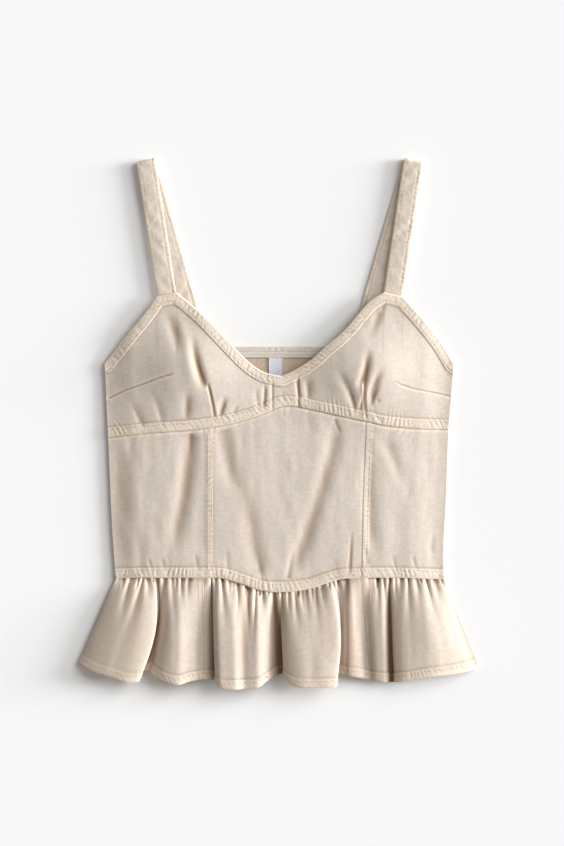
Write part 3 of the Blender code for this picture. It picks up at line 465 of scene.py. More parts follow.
def makeThread():
    # Spun sewing thread, dyed with the cloth: slightly lighter and a little smoother than the twill.
    material = bpy.data.materials.new("spun cotton sewing thread")
    material.use_nodes = True
    tree = material.node_tree
    shader = tree.nodes["Principled BSDF"]
    place = addNode(tree, "ShaderNodeTexCoord").outputs["Object"]
    # Twist of the ply, drawn 0.6 mm apart, and a slow change of shade every 9 mm.
    twist = addNode(tree, "ShaderNodeTexNoise", inputs={"Vector": place, "Scale": 1 / 0.0006})
    shade = addNode(tree, "ShaderNodeTexNoise", inputs={"Vector": place, "Scale": 1 / 0.009})
    colour = addNode(tree, "ShaderNodeMix", {"data_type": "RGBA"}, {
        0: shade.outputs["Fac"], 6: toLinear("#d9b78d"), 7: toLinear("#f2dcc0")}).outputs[2]
    tree.links.new(colour, shader.inputs["Base Color"])
    bump = addNode(tree, "ShaderNodeBump", inputs={
        "Height": twist.outputs["Fac"], "Strength": 0.4, "Distance": 0.0002})
    tree.links.new(bump.outputs["Normal"], shader.inputs["Normal"])
    shader.inputs["Roughness"].default_value = 0.7
    return material


def makeLabelSatin():
    # Damask-woven polyester label: bluish white with a soft gloss and fine weft ribs.
    material = bpy.data.materials.new("damask-woven polyester label")
    material.use_nodes = True
    tree = material.node_tree
    shader = tree.nodes["Principled BSDF"]
    plan = addNode(tree, "ShaderNodeAttribute", {"attribute_name": "clothPlan"}).outputs["Vector"]
    # Weft ribs every 0.8 mm, where the real ones are about 0.3 mm.
    ribs = addNode(tree, "ShaderNodeTexWave", {"bands_direction": "Y"},
                   {"Vector": plan, "Scale": 0.314 / 0.0008, "Distortion": 0.6})
    uneven = addNode(tree, "ShaderNodeTexNoise", inputs={"Vector": plan, "Scale": 1 / 0.003})
    colour = addNode(tree, "ShaderNodeMix", {"data_type": "RGBA"}, {
        0: uneven.outputs["Fac"], 6: toLinear("#d9dcea"), 7: toLinear("#eceef6")}).outputs[2]
    tree.links.new(colour, shader.inputs["Base Color"])
    bump = addNode(tree, "ShaderNodeBump", inputs={
        "Height": ribs.outputs["Fac"], "Strength": 0.3, "Distance": 0.0002})
    tree.links.new(bump.outputs["Normal"], shader.inputs["Normal"])
    shader.inputs["Roughness"].default_value = 0.5
    return material


thread = makeThread()
labelSatin = makeLabelSatin()


def layCloth(name, points, plan, material, look, thick=None, tone=None):
    # A grid of cloth through the points of its upper side, with its thickness below them.
    rows, columns = points.shape[:2]
    bm = bmesh.new()
    bmesh.ops.create_grid(bm, x_segments=columns - 1, y_segments=rows - 1, size=0.5)
    mesh = bpy.data.meshes.new(name)
    bm.to_mesh(mesh)
    onBorder = [edge.is_boundary for edge in bm.edges]
    bm.free()
    count = len(mesh.vertices)
    start = np.empty(count * 3)
    mesh.vertices.foreach_get("co", start)
    start = start.reshape(-1, 3)
    column = np.rint((start[:, 0] + 0.5) * (columns - 1)).astype(int)
    row = np.rint((start[:, 1] + 0.5) * (rows - 1)).astype(int)
    mesh.vertices.foreach_set("co", (points[row, column] * mm).ravel())
    mesh.update()
    mesh.shade_smooth()
    mesh.edges.foreach_set("use_edge_sharp", onBorder)  # keeps a join from showing as a line
    z = points[..., 2] if tone is None else tone
    # The first tone is paler on ridges and worn edges as wear, and darker in hollows and stitch dents as painted shade.
    fine = relief(z, look.get("fineCells", 2))
    wearAndShade = np.clip(fine / look.get("fineHeight", 0.22) + look.get("tint", 0.0), -1, 1)
    wearAndShade = np.maximum(wearAndShade, 1.6 * look["worn"] - 0.6) if "worn" in look else wearAndShade
    # The second is painted shade in folds and valleys: how far each point lies below its surroundings, plus the piece's
    # own fold shade.
    paintedFoldShade = np.clip(-relief(points[..., 2], look.get("deepCells", 9)) / look.get("deepHeight", 5.0), 0, 1)
    paintedFoldShade = np.clip(paintedFoldShade * look.get("deepShare", 0.8) + look.get("shade", 0.0 * paintedFoldShade), 0, 1)
    for label, values in (("wearAndShade", wearAndShade), ("paintedFoldShade", paintedFoldShade)):
        mesh.attributes.new(label, "FLOAT", "POINT").data.foreach_set("value", values[row, column])
    flat = np.concatenate([plan[row, column] * mm, np.zeros((count, 1))], axis=1)
    mesh.attributes.new("clothPlan", "FLOAT_VECTOR", "POINT").data.foreach_set("vector", flat.ravel())
    piece = bpy.data.objects.new(name, mesh)
    bpy.context.scene.collection.objects.link(piece)
    mesh.materials.append(material)
    wall = piece.modifiers.new("cloth", "SOLIDIFY")
    wall.offset = look.get("offset", -1.0)
    wall.thickness = look["thickness"] * mm
    if thick is not None:
        # thick gives the wall in millimetres at each point
        group = piece.vertex_groups.new(name="wall")
        most = float(thick.max())
        wall.thickness = most * mm
        wall.vertex_group = "wall"
        shares = np.round(thick[row, column] / most, 2)
        for share in np.unique(shares):
            group.add([int(i) for i in np.nonzero(shares == share)[0]], float(share), "REPLACE")
    return piece


# ---- stitches ----
stitchLook = {"Pitch": 0.0033, "Stitch length": 0.0026, "Thread width": 0.00075, "Seed": 7}


def makeStitchTree():
    # Small capsules of thread laid end to end along every line of the input.
    tree = bpy.data.node_groups.new("topstitching", "GeometryNodeTree")
    face = tree.interface
    face.new_socket("Geometry", in_out="INPUT", socket_type="NodeSocketGeometry")
    for name in ("Pitch", "Stitch length", "Thread width"):
        face.new_socket(name, in_out="INPUT", socket_type="NodeSocketFloat").default_value = stitchLook[name]
    face.new_socket("Seed", in_out="INPUT", socket_type="NodeSocketInt").default_value = stitchLook["Seed"]
    face.new_socket("Geometry", in_out="OUTPUT", socket_type="NodeSocketGeometry")
    given = tree.nodes.new("NodeGroupInput").outputs
    curve = addNode(tree, "GeometryNodeMeshToCurve", inputs={0: given["Geometry"]})
    spaced = addNode(tree, "GeometryNodeResampleCurve", {"mode": "LENGTH"}, {
        "Curve": curve.outputs[0], "Length": given["Pitch"]})
    points = addNode(tree, "GeometryNodeCurveToPoints", {"mode": "EVALUATED"}, {"Curve": spaced.outputs[0]})
    way = addNode(tree, "FunctionNodeAlignRotationToVector", {"axis": "X"}, {"Vector": points.outputs["Tangent"]})
    halfLength = addNode(tree, "ShaderNodeMath", {"operation": "MULTIPLY"}, {0: given["Stitch length"], 1: 0.5})
    halfWidth = addNode(tree, "ShaderNodeMath", {"operation": "MULTIPLY"}, {0: given["Thread width"], 1: 0.5})
    size = addNode(tree, "ShaderNodeCombineXYZ", inputs={
        "X": halfLength.outputs[0], "Y": halfWidth.outputs[0], "Z": halfWidth.outputs[0]})
    ball = addNode(tree, "GeometryNodeMeshUVSphere", inputs={"Segments": 6, "Rings": 4, "Radius": 1.0})
    # the poles point along the stitch, so that it tapers into the cloth
    lying = addNode(tree, "GeometryNodeTransform", inputs={
        "Geometry": ball.outputs["Mesh"], "Rotation": (0, math.pi / 2, 0)})
    capsule = addNode(tree, "GeometryNodeTransform", inputs={"Geometry": lying.outputs[0], "Scale": size.outputs[0]})
    uneven = addNode(tree, "FunctionNodeRandomValue", {"data_type": "FLOAT"}, {
        2: 0.85, 3: 1.1, "Seed": given["Seed"]})
    placed = addNode(tree, "GeometryNodeInstanceOnPoints", inputs={
        "Points": points.outputs["Points"], "Instance": capsule.outputs[0], "Rotation": way.outputs[0],
        "Scale": uneven.outputs[1]})
    real = addNode(tree, "GeometryNodeRealizeInstances", inputs={0: placed.outputs[0]})
    smooth = addNode(tree, "GeometryNodeSetShadeSmooth", inputs={0: real.outputs[0]})
    dyed = addNode(tree, "GeometryNodeSetMaterial", inputs={"Geometry": smooth.outputs[0], "Material": thread})
    out = tree.nodes.new("NodeGroupOutput")
    tree.links.new(dyed.outputs[0], out.inputs[0])
    return tree


stitchTree = makeStitchTree()


def sewRows(name, rows):
    # rows is a list of point lists on the cloth, and every one becomes a row of stitches
    rows = [np.asarray(row) for row in rows if len(row) > 3]
    mesh = bpy.data.meshes.new(name)
    points = np.concatenate(rows) * mm
    edges, first = [], 0
    for row in rows:
        edges += [(first + i, first + i + 1) for i in range(len(row) - 1)]
        first += len(row)
    mesh.from_pydata([tuple(map(float, p)) for p in points], edges, [])
    piece = bpy.data.objects.new(name, mesh)
    bpy.context.scene.collection.objects.link(piece)
    modifier = piece.modifiers.new("topstitching", "NODES")
    modifier.node_group = stitchTree
    for socket in stitchTree.interface.items_tree:
        if socket.in_out == "INPUT" and socket.name in stitchLook:
            modifier[socket.identifier] = stitchLook[socket.name]
    graph = bpy.context.evaluated_depsgraph_get()
    sewn = bpy.data.meshes.new_from_object(piece.evaluated_get(graph))
    piece.modifiers.clear()
    piece.data = sewn
    sewn.name = name
    return piece


def setPiece(piece, node, stitches=None):
    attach(piece, "root")
    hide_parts(node)
    if stitches is not None:
        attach(stitches, "root")


# ---- cups and the bridge between them ----
cupLook = {
    "spacing": 1.3, "thickness": 0.9, "bandThickness": 1.7, "surface": 1.15, "bandRise": 0.75,
    "underbustBand": 10.0, "edgeBand": 10.6, "rowsUnderbust": (1.6, 9.0), "rowsEdge": (2.2, 9.2),
    "underbustPuckers": {"pitch": 5.0, "seed": 11, "height": 0.6, "start": 1.0, "end": 9.0, "slant": 0.3, "reach": 6.0,
                         "calm": ((94, 120), (280, 303))},
    "edgePuckers": {"pitch": 4.6, "seed": 21, "height": 0.5, "start": 1.6, "end": 8.4, "slant": 0.1, "reach": 2.2,
                    "calm": ()},
    "crumple": 0.3, "deepHeight": 3.0, "deepShare": 0.9,
}
darts = [
    (SeamLine([(-196, 28), (-175, 38), (-154, 45), (-136, 52), (-118, 57)]),
     {"width": 0.9, "depth": 0.8, "lip": 0.3, "lipReach": 5.0, "lipSide": -1, "fadeIn": 0.02, "fadeOut": 0.12}),
    (SeamLine([(129, 49.5), (136, 44.5), (149, 40), (169, 36), (193, 31)]),
     {"width": 0.8, "depth": 0.65, "lip": 0.25, "lipReach": 5.0, "lipSide": -1, "fadeIn": 0.15, "fadeOut": 0.02}),
    (SeamLine([(-82, 47), (-79, 34), (-75.5, 19), (-73.5, 5)]),
     {"width": 1.2, "depth": 1.2, "lip": 0.3, "lipReach": 2.4, "lipSide": -1, "fadeIn": 0.15, "fadeOut": 0.15}),
    (SeamLine([(95.8, 50), (95.7, 38), (96.5, 20), (98, 4)]),
     {"width": 1.0, "depth": 1.0, "lip": 0.3, "lipReach": 2.4, "lipSide": -1, "fadeIn": 0.15, "fadeOut": 0.1}),
]


def clothFront(x, y):
    # what both the cups and the panels share: the height, the soft crumple and the small creases
    swell = cloud(1, x, y, 26, 40) * 0.6 + cloud(2, x + 0.3 * y, y, 11, 19) * 0.4
    inward = ease(np.minimum(x - sideLeft(y), sideRight(y) - x) / 12)
    small = sum(foldHeight(x, y, crease) for crease in creases)
    return frontHeight(x, y) + inward * (cupLook["crumple"] * swell + layers["foldShare"] * small)


def cupSurface(x, y):
    s, d = underbustLine.near(x, y)
    sTop, dTop = topLine.near(x, y)
    z = clothFront(x, y) + cupLook["surface"]
    bridge = ease((np.asarray(x) - bridgeLeftX + 2) / 3) * ease((bridgeRightX + 2 - np.asarray(x)) / 3)
    z = z + felledBand(d, cupLook["underbustBand"], cupLook["bandRise"])
    z = z + felledBand(dTop, cupLook["edgeBand"], cupLook["bandRise"])
    z = z + puckers(s, d, cupLook["underbustPuckers"]) * (1 - 0.4 * bridge)
    z = z + puckers(sTop, dTop, cupLook["edgePuckers"]) * (1 - 0.7 * bridge)
    z = z + stitchDents(s, d, cupLook["rowsUnderbust"]) + stitchDents(sTop, dTop, cupLook["rowsEdge"])
    for line, look in darts:
        z = z + sharpCrease(x, y, line, look)
    # the joins of the bridge sink in
    for seamX in (bridgeLeftX, bridgeRightX):
        z = z - 0.6 * np.exp(-(((x - seamX) / 1.4) ** 2)) * ease((dTop - 8) / 4)
    # the free edge is rounded
    return z - 0.5 * np.exp(-((dTop / 0.7) ** 2)) - 0.35 * np.exp(-((d / 0.6) ** 2))


def cupWear(x, y):
    # worn edges, how much paler the felled bands are, the stitch rows' pale wear and painted shade, and painted shade
    # along the darts and in the folds
    sTop, dTop = topLine.near(x, y)
    sUnder, dUnder = underbustLine.near(x, y)
    worn = np.maximum(0.95 * np.exp(-((dTop / 1.3) ** 2)), 0.95 * np.exp(-((dUnder / 1.2) ** 2)))
    tint = 0.4 * np.maximum(1 - ease((dTop - 9.5) / 2), 1 - ease((dUnder - 9) / 2))
    tint = tint + rowTone(sUnder, dUnder, (2.2, 8.6), 15) + rowTone(sTop, dTop, (2.8, 8.8), 25)
    # painted shade along the groove of each dart
    for line, look in darts:
        s, beside = line.near(x, y)
        ends = ease(s / line.length / look["fadeIn"]) * ease((1 - s / line.length) / look["fadeOut"])
        tint = tint - 1.7 * ends * np.exp(-((beside / 1.1) ** 2))
    return {"worn": worn, "tint": tint, "shade": sum(foldHeight(x, y, fold) for fold in paintedFoldShades)}


def bandWall(x, y, lines, look):
    # the felled bands are thicker, and the wall at the side seam reaches down to the back
    band = sum(1 - ease((np.abs(line.near(x, y)[1]) - width) / 1.8) for line, width in lines)
    side = np.exp(-((np.minimum(x - sideLeft(y), sideRight(y) - x) / 1.2) ** 2))
    wall = look["thickness"] + (look["bandThickness"] - look["thickness"]) * np.minimum(band, 1) + 0.5 * side
    return wall


def makeCup(name, node, seamX, sideBottomX, sideTopX, corners):
    stops = np.array([sideTopX, *corners, seamX], float)
    spans = np.abs(np.diff(stops))
    counts = np.maximum(2, np.round(spans / cupLook["spacing"])).astype(int)
    runs = [np.linspace(a, b, n, endpoint=False) for a, b, n in zip(stops[:-1], stops[1:], counts)]
    topX = np.sort(np.concatenate([*runs, stops[-1:]]))
    towardSide = (topX - seamX) / (sideTopX - seamX)
    bottomX = seamX + (sideBottomX - seamX) * towardSide
    lowY = underbust(bottomX) + seamGap / 2
    tall = cupTop(topX) - lowY
    shares = np.linspace(0, 1, int(tall.max() / cupLook["spacing"]))[:, None]
    x, y = bottomX + (topX - bottomX) * shares, lowY + tall * shares
    points = np.stack([x, y, cupSurface(x, y)], axis=-1)
    wall = bandWall(x, y, ((underbustLine, 10.0), (topLine, 10.6)), cupLook)
    look = dict(cupLook, **cupWear(x, y))
    piece = layCloth(name, points, np.stack([x, y], axis=-1), frontTwill, look, wall)
    rows = []
    left, right = min(seamX, sideTopX), max(seamX, sideTopX)
    for line, distances in ((underbustLine, cupLook["rowsUnderbust"]), (topLine, cupLook["rowsEdge"])):
        for distance in distances:
            row = line.offset(distance, 1.5, 1.5)
            row = row[(row[:, 0] > left + 1) & (row[:, 0] < right - 1)]
            rows.append(np.column_stack([row, cupSurface(row[:, 0], row[:, 1]) + 0.05]))
    for line, _look in darts[2:]:
        row = line.offset(3.2 if seamX < 0 else -3.2, 6)
        if left < row[0, 0] < right:
            rows.append(np.column_stack([row, cupSurface(row[:, 0], row[:, 1]) + 0.05]))
    setPiece(piece, node, sewRows(name + "Stitches", rows))
    return piece


def makeBridge():
    x = np.linspace(bridgeLeftX + seamGap / 2, bridgeRightX - seamGap / 2, 25)
    lowY = underbust(x) + seamGap / 2
    tall = cupTop(x) - lowY
    shares = np.linspace(0, 1, 34)[:, None]
    x, y = x + 0 * shares, lowY + tall * shares
    points = np.stack([x, y, cupSurface(x, y)], axis=-1)
    wall = bandWall(x, y, ((underbustLine, 10.0), (topLine, 10.6)), cupLook)
    piece = layCloth("bridge", points, np.stack([x, y], axis=-1), frontTwill, dict(cupLook, **cupWear(x, y)), wall)
    rows = []
    for line, distances in ((underbustLine, cupLook["rowsUnderbust"]), (topLine, cupLook["rowsEdge"])):
        for distance in distances:
            row = line.offset(distance)
            row = row[(row[:, 0] > bridgeLeftX + 1) & (row[:, 0] < bridgeRightX - 1)]
            rows.append(np.column_stack([row, cupSurface(row[:, 0], row[:, 1]) + 0.05]))
    setPiece(piece, "bridge_front",
        sewRows("bridgeStitches", rows))


makeCup("leftCup", "cup_left", bridgeLeftX - seamGap / 2, -195.0, -199.0, (-140, -117))
makeCup("rightCup", "cup_right", bridgeRightX + seamGap / 2, 191.0, 197.0, (140, 118))
makeBridge()
print("cups and bridge laid")

# ---- front panels of the bodice ----
bodiceLook = {
    "spacing": 1.35, "thickness": 0.9, "bandThickness": 1.7, "surface": 1.1, "bandRise": 0.75,
    "waistBand": 10.2, "rowsWaist": (2.2, 9.4), "princessBand": 7.0, "rowsPrincess": (1.2, 6.2),
    "waistPuckers": {"pitch": 5.4, "seed": 31, "height": 0.65, "start": 0.8, "end": 9.2, "slant": 0.0, "reach": 4.5,
                     "calm": ((86, 112), (258, 284))},
    "princessPuckers": {"pitch": 6.4, "seed": 41, "height": 0.2, "start": 0.8, "end": 6.0, "slant": 0.2,
                        "reach": 2.5, "calm": ()},
    "topPuckers": {"pitch": 9.5, "seed": 51, "height": 0.35, "start": 0.2, "end": 0.5, "slant": 0.5, "reach": 7.0,
                   "calm": ()},
    "deepHeight": 3.5,
}


def bodiceSurface(x, y, felledSide):
    s, d = waistLine.near(x, y)
    sTop, dTop = underbustLine.near(x, y)
    z = clothFront(x, y) + bodiceLook["surface"]
    z = z + cloud(61, x, y, 15, 60) * 0.22 + cloud(62, x, y, 7, 24) * 0.1
    z = z + felledBand(d, bodiceLook["waistBand"], bodiceLook["bandRise"])
    z = z + puckers(s, d, bodiceLook["waistPuckers"]) + stitchDents(s, d, bodiceLook["rowsWaist"])
    z = z + puckers(sTop, -dTop, bodiceLook["topPuckers"]) - 0.6 * np.exp(-((dTop / 1.1) ** 2))
    for line, way in ((princessLeftLine, 1), (princessRightLine, -1)):
        sSeam, beside = line.near(x, y)
        away = beside * way
        outer = (felledSide == "right" and way == 1) or (felledSide == "left" and way == -1)
        if outer:
            z = z + felledBand(away, bodiceLook["princessBand"], 0.3)
            z = z + puckers(sSeam, away, bodiceLook["princessPuckers"])
            z = z + stitchDents(sSeam, away, bodiceLook["rowsPrincess"], 0.2)
        else:
            z = z + puckers(sSeam, -away, dict(bodiceLook["princessPuckers"], end=0.5, reach=4.0))
            z = z - 0.12 * np.exp(-((away / 1.0) ** 2))
    return z - 0.3 * np.exp(-((d / 0.6) ** 2))


def makeBodicePanel(name, node, left, right, gaps, felledSide):
    insetLeft, insetRight = gaps
    topLeft, topRight = left(0.0) + insetLeft, right(0.0) - insetRight
    lowLeft, lowRight = left(waistSideY) + insetLeft, right(waistSideY) - insetRight
    columns = int((topRight - topLeft) / bodiceLook["spacing"])
    across = np.linspace(0, 1, columns)
    bottomX, topX = lowLeft + (lowRight - lowLeft) * across, topLeft + (topRight - topLeft) * across
    lowY = waist(bottomX) + seamGap / 2
    tall = underbust(topX) - seamGap / 2 - lowY
    shares = np.linspace(0, 1, int(tall.max() / bodiceLook["spacing"]))[:, None]
    x, y = bottomX + (topX - bottomX) * shares, lowY + tall * shares
    for row in range(len(x)):
        start, end = left(y[row, 0]) + insetLeft, right(y[row, -1]) - insetRight
        x[row] = start + (x[row] - x[row, 0]) * (end - start) / (x[row, -1] - x[row, 0])
    points = np.stack([x, y, bodiceSurface(x, y, felledSide)], axis=-1)
    lines = [(waistLine, bodiceLook["waistBand"])]
    if felledSide:
        lines.append((princessLeftLine if felledSide == "right" else princessRightLine, bodiceLook["princessBand"]))
    wall = bandWall(x, y, lines, bodiceLook)
    sWaist, dWaist = waistLine.near(x, y)
    tint = 0.4 * (1 - ease((dWaist - 9) / 2)) + rowTone(sWaist, dWaist, (2.8, 8.8), 35)
    if felledSide:
        line = princessLeftLine if felledSide == "right" else princessRightLine
        sSeam, away = line.near(x, y)
        tint = tint + 0.1 * (1 - ease((np.abs(away) - 6) / 2)) + rowTone(sSeam, np.abs(away), (1.2, 6.2), 45, 0.3)
    # painted shade under the edge of the cups
    tint = tint - 1.5 * np.exp(-((underbustLine.near(x, y)[1] / 1.2) ** 2))
    # painted shade along the folds
    shade = sum(foldHeight(x, y, fold) for fold in paintedFoldShades)
    look = dict(bodiceLook, worn=0.95 * np.exp(-((dWaist / 1.2) ** 2)), tint=tint, shade=shade)
    piece = layCloth(name, points, np.stack([x, y], axis=-1), frontTwill, look, wall)
    rows = []
    for distance in bodiceLook["rowsWaist"]:
        row = waistLine.offset(distance, 1.5, 1.5)
        row = row[(row[:, 0] > bottomX[0] + 0.5) & (row[:, 0] < bottomX[-1] - 0.5)]
        rows.append(np.column_stack([row, bodiceSurface(row[:, 0], row[:, 1], felledSide) + 0.05]))
    if felledSide:
        line, way = (princessLeftLine, 1) if felledSide == "right" else (princessRightLine, -1)
        for distance in bodiceLook["rowsPrincess"]:
            row = line.offset(distance * way, 12, 2)
            rows.append(np.column_stack([row, bodiceSurface(row[:, 0], row[:, 1], felledSide) + 0.05]))
    setPiece(piece, node, sewRows(name + "Stitches", rows))


halfGap = seamGap / 2
makeBodicePanel("leftSideFront", "side_front_left", sideLeft, princessLeft, (0, halfGap), "right")
makeBodicePanel("centerFront", "center_front", princessLeft, princessRight, (halfGap, halfGap), None)
makeBodicePanel("rightSideFront", "side_front_right", princessRight, sideRight, (halfGap, 0), "left")
print("front panels laid")

# ---- front ruffle ----
ruffleLook = {
    "spacing": 1.35, "thickness": 0.85, "bandThickness": 1.5, "surface": 1.05, "hemBand": 9.3, "bandRise": 0.6,
    "rowHem": 8.0, "gatherDepth": 0.95, "fullness": 0.9, "rise": 0.24, "seamFlat": 0.03,
    "plainEdge": 16.0, "smallGathers": 70, "fineHeight": 0.4, "deepCells": 12, "deepHeight": 4.5, "deepShare": 0.9,
    "hemPuckers": {"pitch": 5.2, "seed": 71, "height": 0.7, "start": 0.8, "end": 7.4, "slant": 0.7, "reach": 1.6,
                   "calm": ()},
}


class RuffleForm:
    # the front ruffle over its length along the hem and its share down from the waist seam
    def __init__(self):
        table = np.array(waves, float)
        steps = np.hypot(np.diff(table[:, 1]), np.diff(table[:, 3]))
        self.along = np.concatenate([[0], np.cumsum(steps)])
        self.parts = [smoothCurve(np.column_stack([self.along, table[:, k]])) for k in range(5)]
        self.length = self.along[-1]
        rng = np.random.default_rng(5)
        places = np.sort(rng.uniform(-183, 183, ruffleLook["smallGathers"]))
        calm = [(-99, -79), (80, 98)]
        self.small = [(x, rng.uniform(1.2, 2.6), rng.uniform(0.03, 0.09), rng.uniform(-14, 14)) for x in places
                      if not any(a < x < b for a, b in calm)]
        self.large = [(gx, d, reach, rng.uniform(1.5, 2.8), rng.uniform(2, 9), rng.uniform(-7, 7))
                      for gx, d, reach in gathers]

    def gathered(self, x, down):
        # every gather has its own width, spread and lean
        depth = 0.0
        for gx, d, reach, width, spread, lean in self.large:
            away = (x - gx - lean * down) / (width + spread * down)
            depth = depth + ruffleLook["gatherDepth"] * d * np.exp(-(away**2) - (down / reach) ** 2)
        for gx, d, reach, lean in self.small:
            depth = depth + d * np.exp(-(((x - gx - lean * down) / 1.0) ** 2) - (down / reach) ** 2)
        return -depth

    def inner(self, along, down):
        seamX, hemX, hemY, hemZ, bow = (part(along) for part in self.parts)
        seamY = waist(seamX) - seamGap
        seamZ = frontHeight(seamX, seamY)
        rise = 1 - np.exp(-np.maximum(down - ruffleLook["seamFlat"], 0) / ruffleLook["rise"])
        rise = rise / (1 - math.exp((ruffleLook["seamFlat"] - 1) / ruffleLook["rise"]))
        inward = ease(np.minimum(along, self.length - along) / ruffleLook["plainEdge"])
        x = seamX + (hemX - seamX) * down + bow * np.sin(math.pi * down)
        y = seamY + (hemY - seamY) * down
        uneven = 1.1 + 0.7 * wander(77, seamX, 5.5) * np.exp(-down / 0.12)
        puff = ruffleLook["fullness"] * (1 - np.exp(-down / 0.025)) * uneven
        z = seamZ + (hemZ - seamZ) * rise + inward * (self.gathered(seamX, down) + puff)
        return np.stack([x, y, z], axis=-1)

    def outer(self, along, down):
        # the upper side, with the hem band, its roping and the small lengthwise ripples
        points = self.inner(along, down)
        top, hem = self.inner(along, 0 * down), self.inner(along, 0 * down + 1)
        depth = np.hypot(*(hem - top)[..., :2].T).T
        fromHem = (1 - down) * depth
        lift = ruffleLook["surface"] + felledBand(fromHem, ruffleLook["hemBand"], ruffleLook["bandRise"])
        lift = lift + puckers(along, fromHem, ruffleLook["hemPuckers"])
        lift = lift + stitchDents(along, fromHem, (ruffleLook["rowHem"],))
        middle = ease(down / 0.12) * ease((1 - down) / 0.1)
        ripples = cloud(81, along, down * depth, 8, 45) * 0.2 + cloud(82, along, down * depth, 18, 60) * 0.35
        lift = lift + middle * ripples
        lift = lift - 0.45 * np.exp(-((fromHem / 0.7) ** 2))
        for seam in (self.along[seamWaveLeft], self.along[seamWaveRight]):
            lift = lift - 0.25 * np.exp(-(((along - seam) / 0.9) ** 2))
            lift = lift - 0.18 * np.exp(-(((np.abs(along - seam) - 2.6) / 0.8) ** 2))
        step = 0.4
        across = self.inner(along + step, down) - self.inner(along - step, down)
        up = self.inner(along, np.maximum(down - 0.004, 0)) - self.inner(along, np.minimum(down + 0.004, 1))
        normal = np.cross(across, up)
        normal = normal / np.maximum(np.linalg.norm(normal, axis=-1, keepdims=True), 1e-9)
        return points + normal * lift[..., None], depth, lift


ruffle = RuffleForm()
# painted shade in the valleys: place among the waves, width, strength and how far down
paintedValleyShades = [(6.4, 8, 0.95, 0.75), (13.6, 7, 0.9, 1.0), (22.2, 8, 0.85, 0.9), (32.2, 8, 0.6, 0.95),
           (39.6, 6, 0.85, 0.95), (9.0, 7, 0.25, 0.5), (18.0, 7, 0.25, 0.6), (27.5, 6, 0.2, 0.5),
           (43.0, 8, 0.2, 0.6)]


def makeRuffle(name, node, start, end):
    along = np.linspace(start, end, int((end - start) / ruffleLook["spacing"]))
    down = np.linspace(1, 0, 86)[:, None] ** 1.15
    along, down = np.broadcast_arrays(along, down)
    points, depth, lift = ruffle.outer(along, down)
    fromHem = (1 - down) * depth
    wall = ruffleLook["thickness"] + (ruffleLook["bandThickness"] - ruffleLook["thickness"]) * (
        1 - ease((fromHem - ruffleLook["hemBand"]) / 1.8))
    tint = 0.2 * (1 - ease((fromHem - 8) / 2)) + rowTone(along, fromHem, (7.6, 1.5), 75, 0.6)
    # painted shade just under the waist band, and painted light on the left end, whose folds face away from the lamps
    tint = tint - 0.7 * np.exp(-down / 0.03) + 0.5 * (1 - ease((along - 45) / 40))
    shade = 0.0
    for wave, width, strength, reach in paintedValleyShades:
        at = np.interp(wave, np.arange(len(waves)), ruffle.along)
        beside = (along - at) / (width * (0.45 + 0.55 * down))
        shade = shade + strength * np.exp(-(beside**2)) * (1 - ease((down - reach) / 0.3))
    look = dict(ruffleLook, worn=0.7 * np.exp(-((fromHem / 1.2) ** 2)), tint=tint, shade=shade)
    # the gathers sink the tone, so they get painted shade
    tone = lift + 0.6 * ruffle.gathered(ruffle.parts[0](along), down)
    piece = layCloth(name, points, np.stack([along, -down * depth], axis=-1), ruffleTwill, look, wall, tone)
    rows = []
    hemRun = np.arange(start + 1, end - 1, 0.8)
    hemDepth = ruffle.outer(hemRun, 0 * hemRun + 1)[1]
    rows.append(ruffle.outer(hemRun, 1 - ruffleLook["rowHem"] / hemDepth)[0])
    for seam, side in ((ruffle.along[seamWaveLeft], 1), (ruffle.along[seamWaveRight], -1)):
        for distance in (2.2, 7.0):
            line = seam - side * distance
            if start < line < end:
                drop = np.linspace(0.03, 0.985, 150)
                rows.append(ruffle.outer(np.full(150, line), drop)[0])
    setPiece(piece, node, sewRows(name + "Stitches", rows))


leftSeam, rightSeam = ruffle.along[seamWaveLeft], ruffle.along[seamWaveRight]
makeRuffle("leftRuffle", "peplum_side_left", 0.0, leftSeam - halfGap)
makeRuffle("centerRuffle", "peplum_center_front", leftSeam + halfGap, rightSeam - halfGap)
makeRuffle("rightRuffle", "peplum_side_right", rightSeam + halfGap, ruffle.length)
print("front ruffle laid")

# ---- back panel, its turned band, the label and the back ruffle ----
backLook = {
    "spacing": 2.0, "thickness": 0.75, "bandThickness": 1.2, "surface": 1.25, "princessX": 84.0, "waistBand": 10.0,
    "topBand": 11.0, "rows": (2.0, 9.0), "bandDepth": 12.5, "bandHalf": 189.0, "deepShare": 0.0,
}
backTopLine = curveLine(backTop, 197, -199)  # from right to left, so that the cloth is on its left
backWaistLine = SeamLine([(-186, -175.9), (186, -175.9)])


def backSurface(x, y):
    # inner side of the back
    inward = ease(np.minimum(x - sideLeft(y), sideRight(y) - x) / 12)
    swell = cloud(91, x, y, 18, 60) * 0.16 + cloud(92, x, y, 8, 20) * 0.08
    return backHeight(x, y) + backLook["surface"] + inward * swell


def backWall(x, y):
    # Thicker where the seams are felled, and those bands are what touches the floor.
    dWaist = backWaistLine.near(x, y)[1]
    dTop = backTopLine.near(x, y)[1]
    band = (1 - ease((dWaist - backLook["waistBand"]) / 1.8)) + (1 - ease((dTop - backLook["topBand"]) / 1.8))
    for seamX in (-backLook["princessX"], backLook["princessX"]):
        band = band + (1 - ease((np.abs(x - seamX) - 3.5) / 1.8))
    lowest = backSurface(x, y) - backHeight(x, y)
    return np.where(band > 0, backLook["thickness"] + (lowest - backLook["thickness"]) * np.minimum(band, 1),
                    backLook["thickness"])


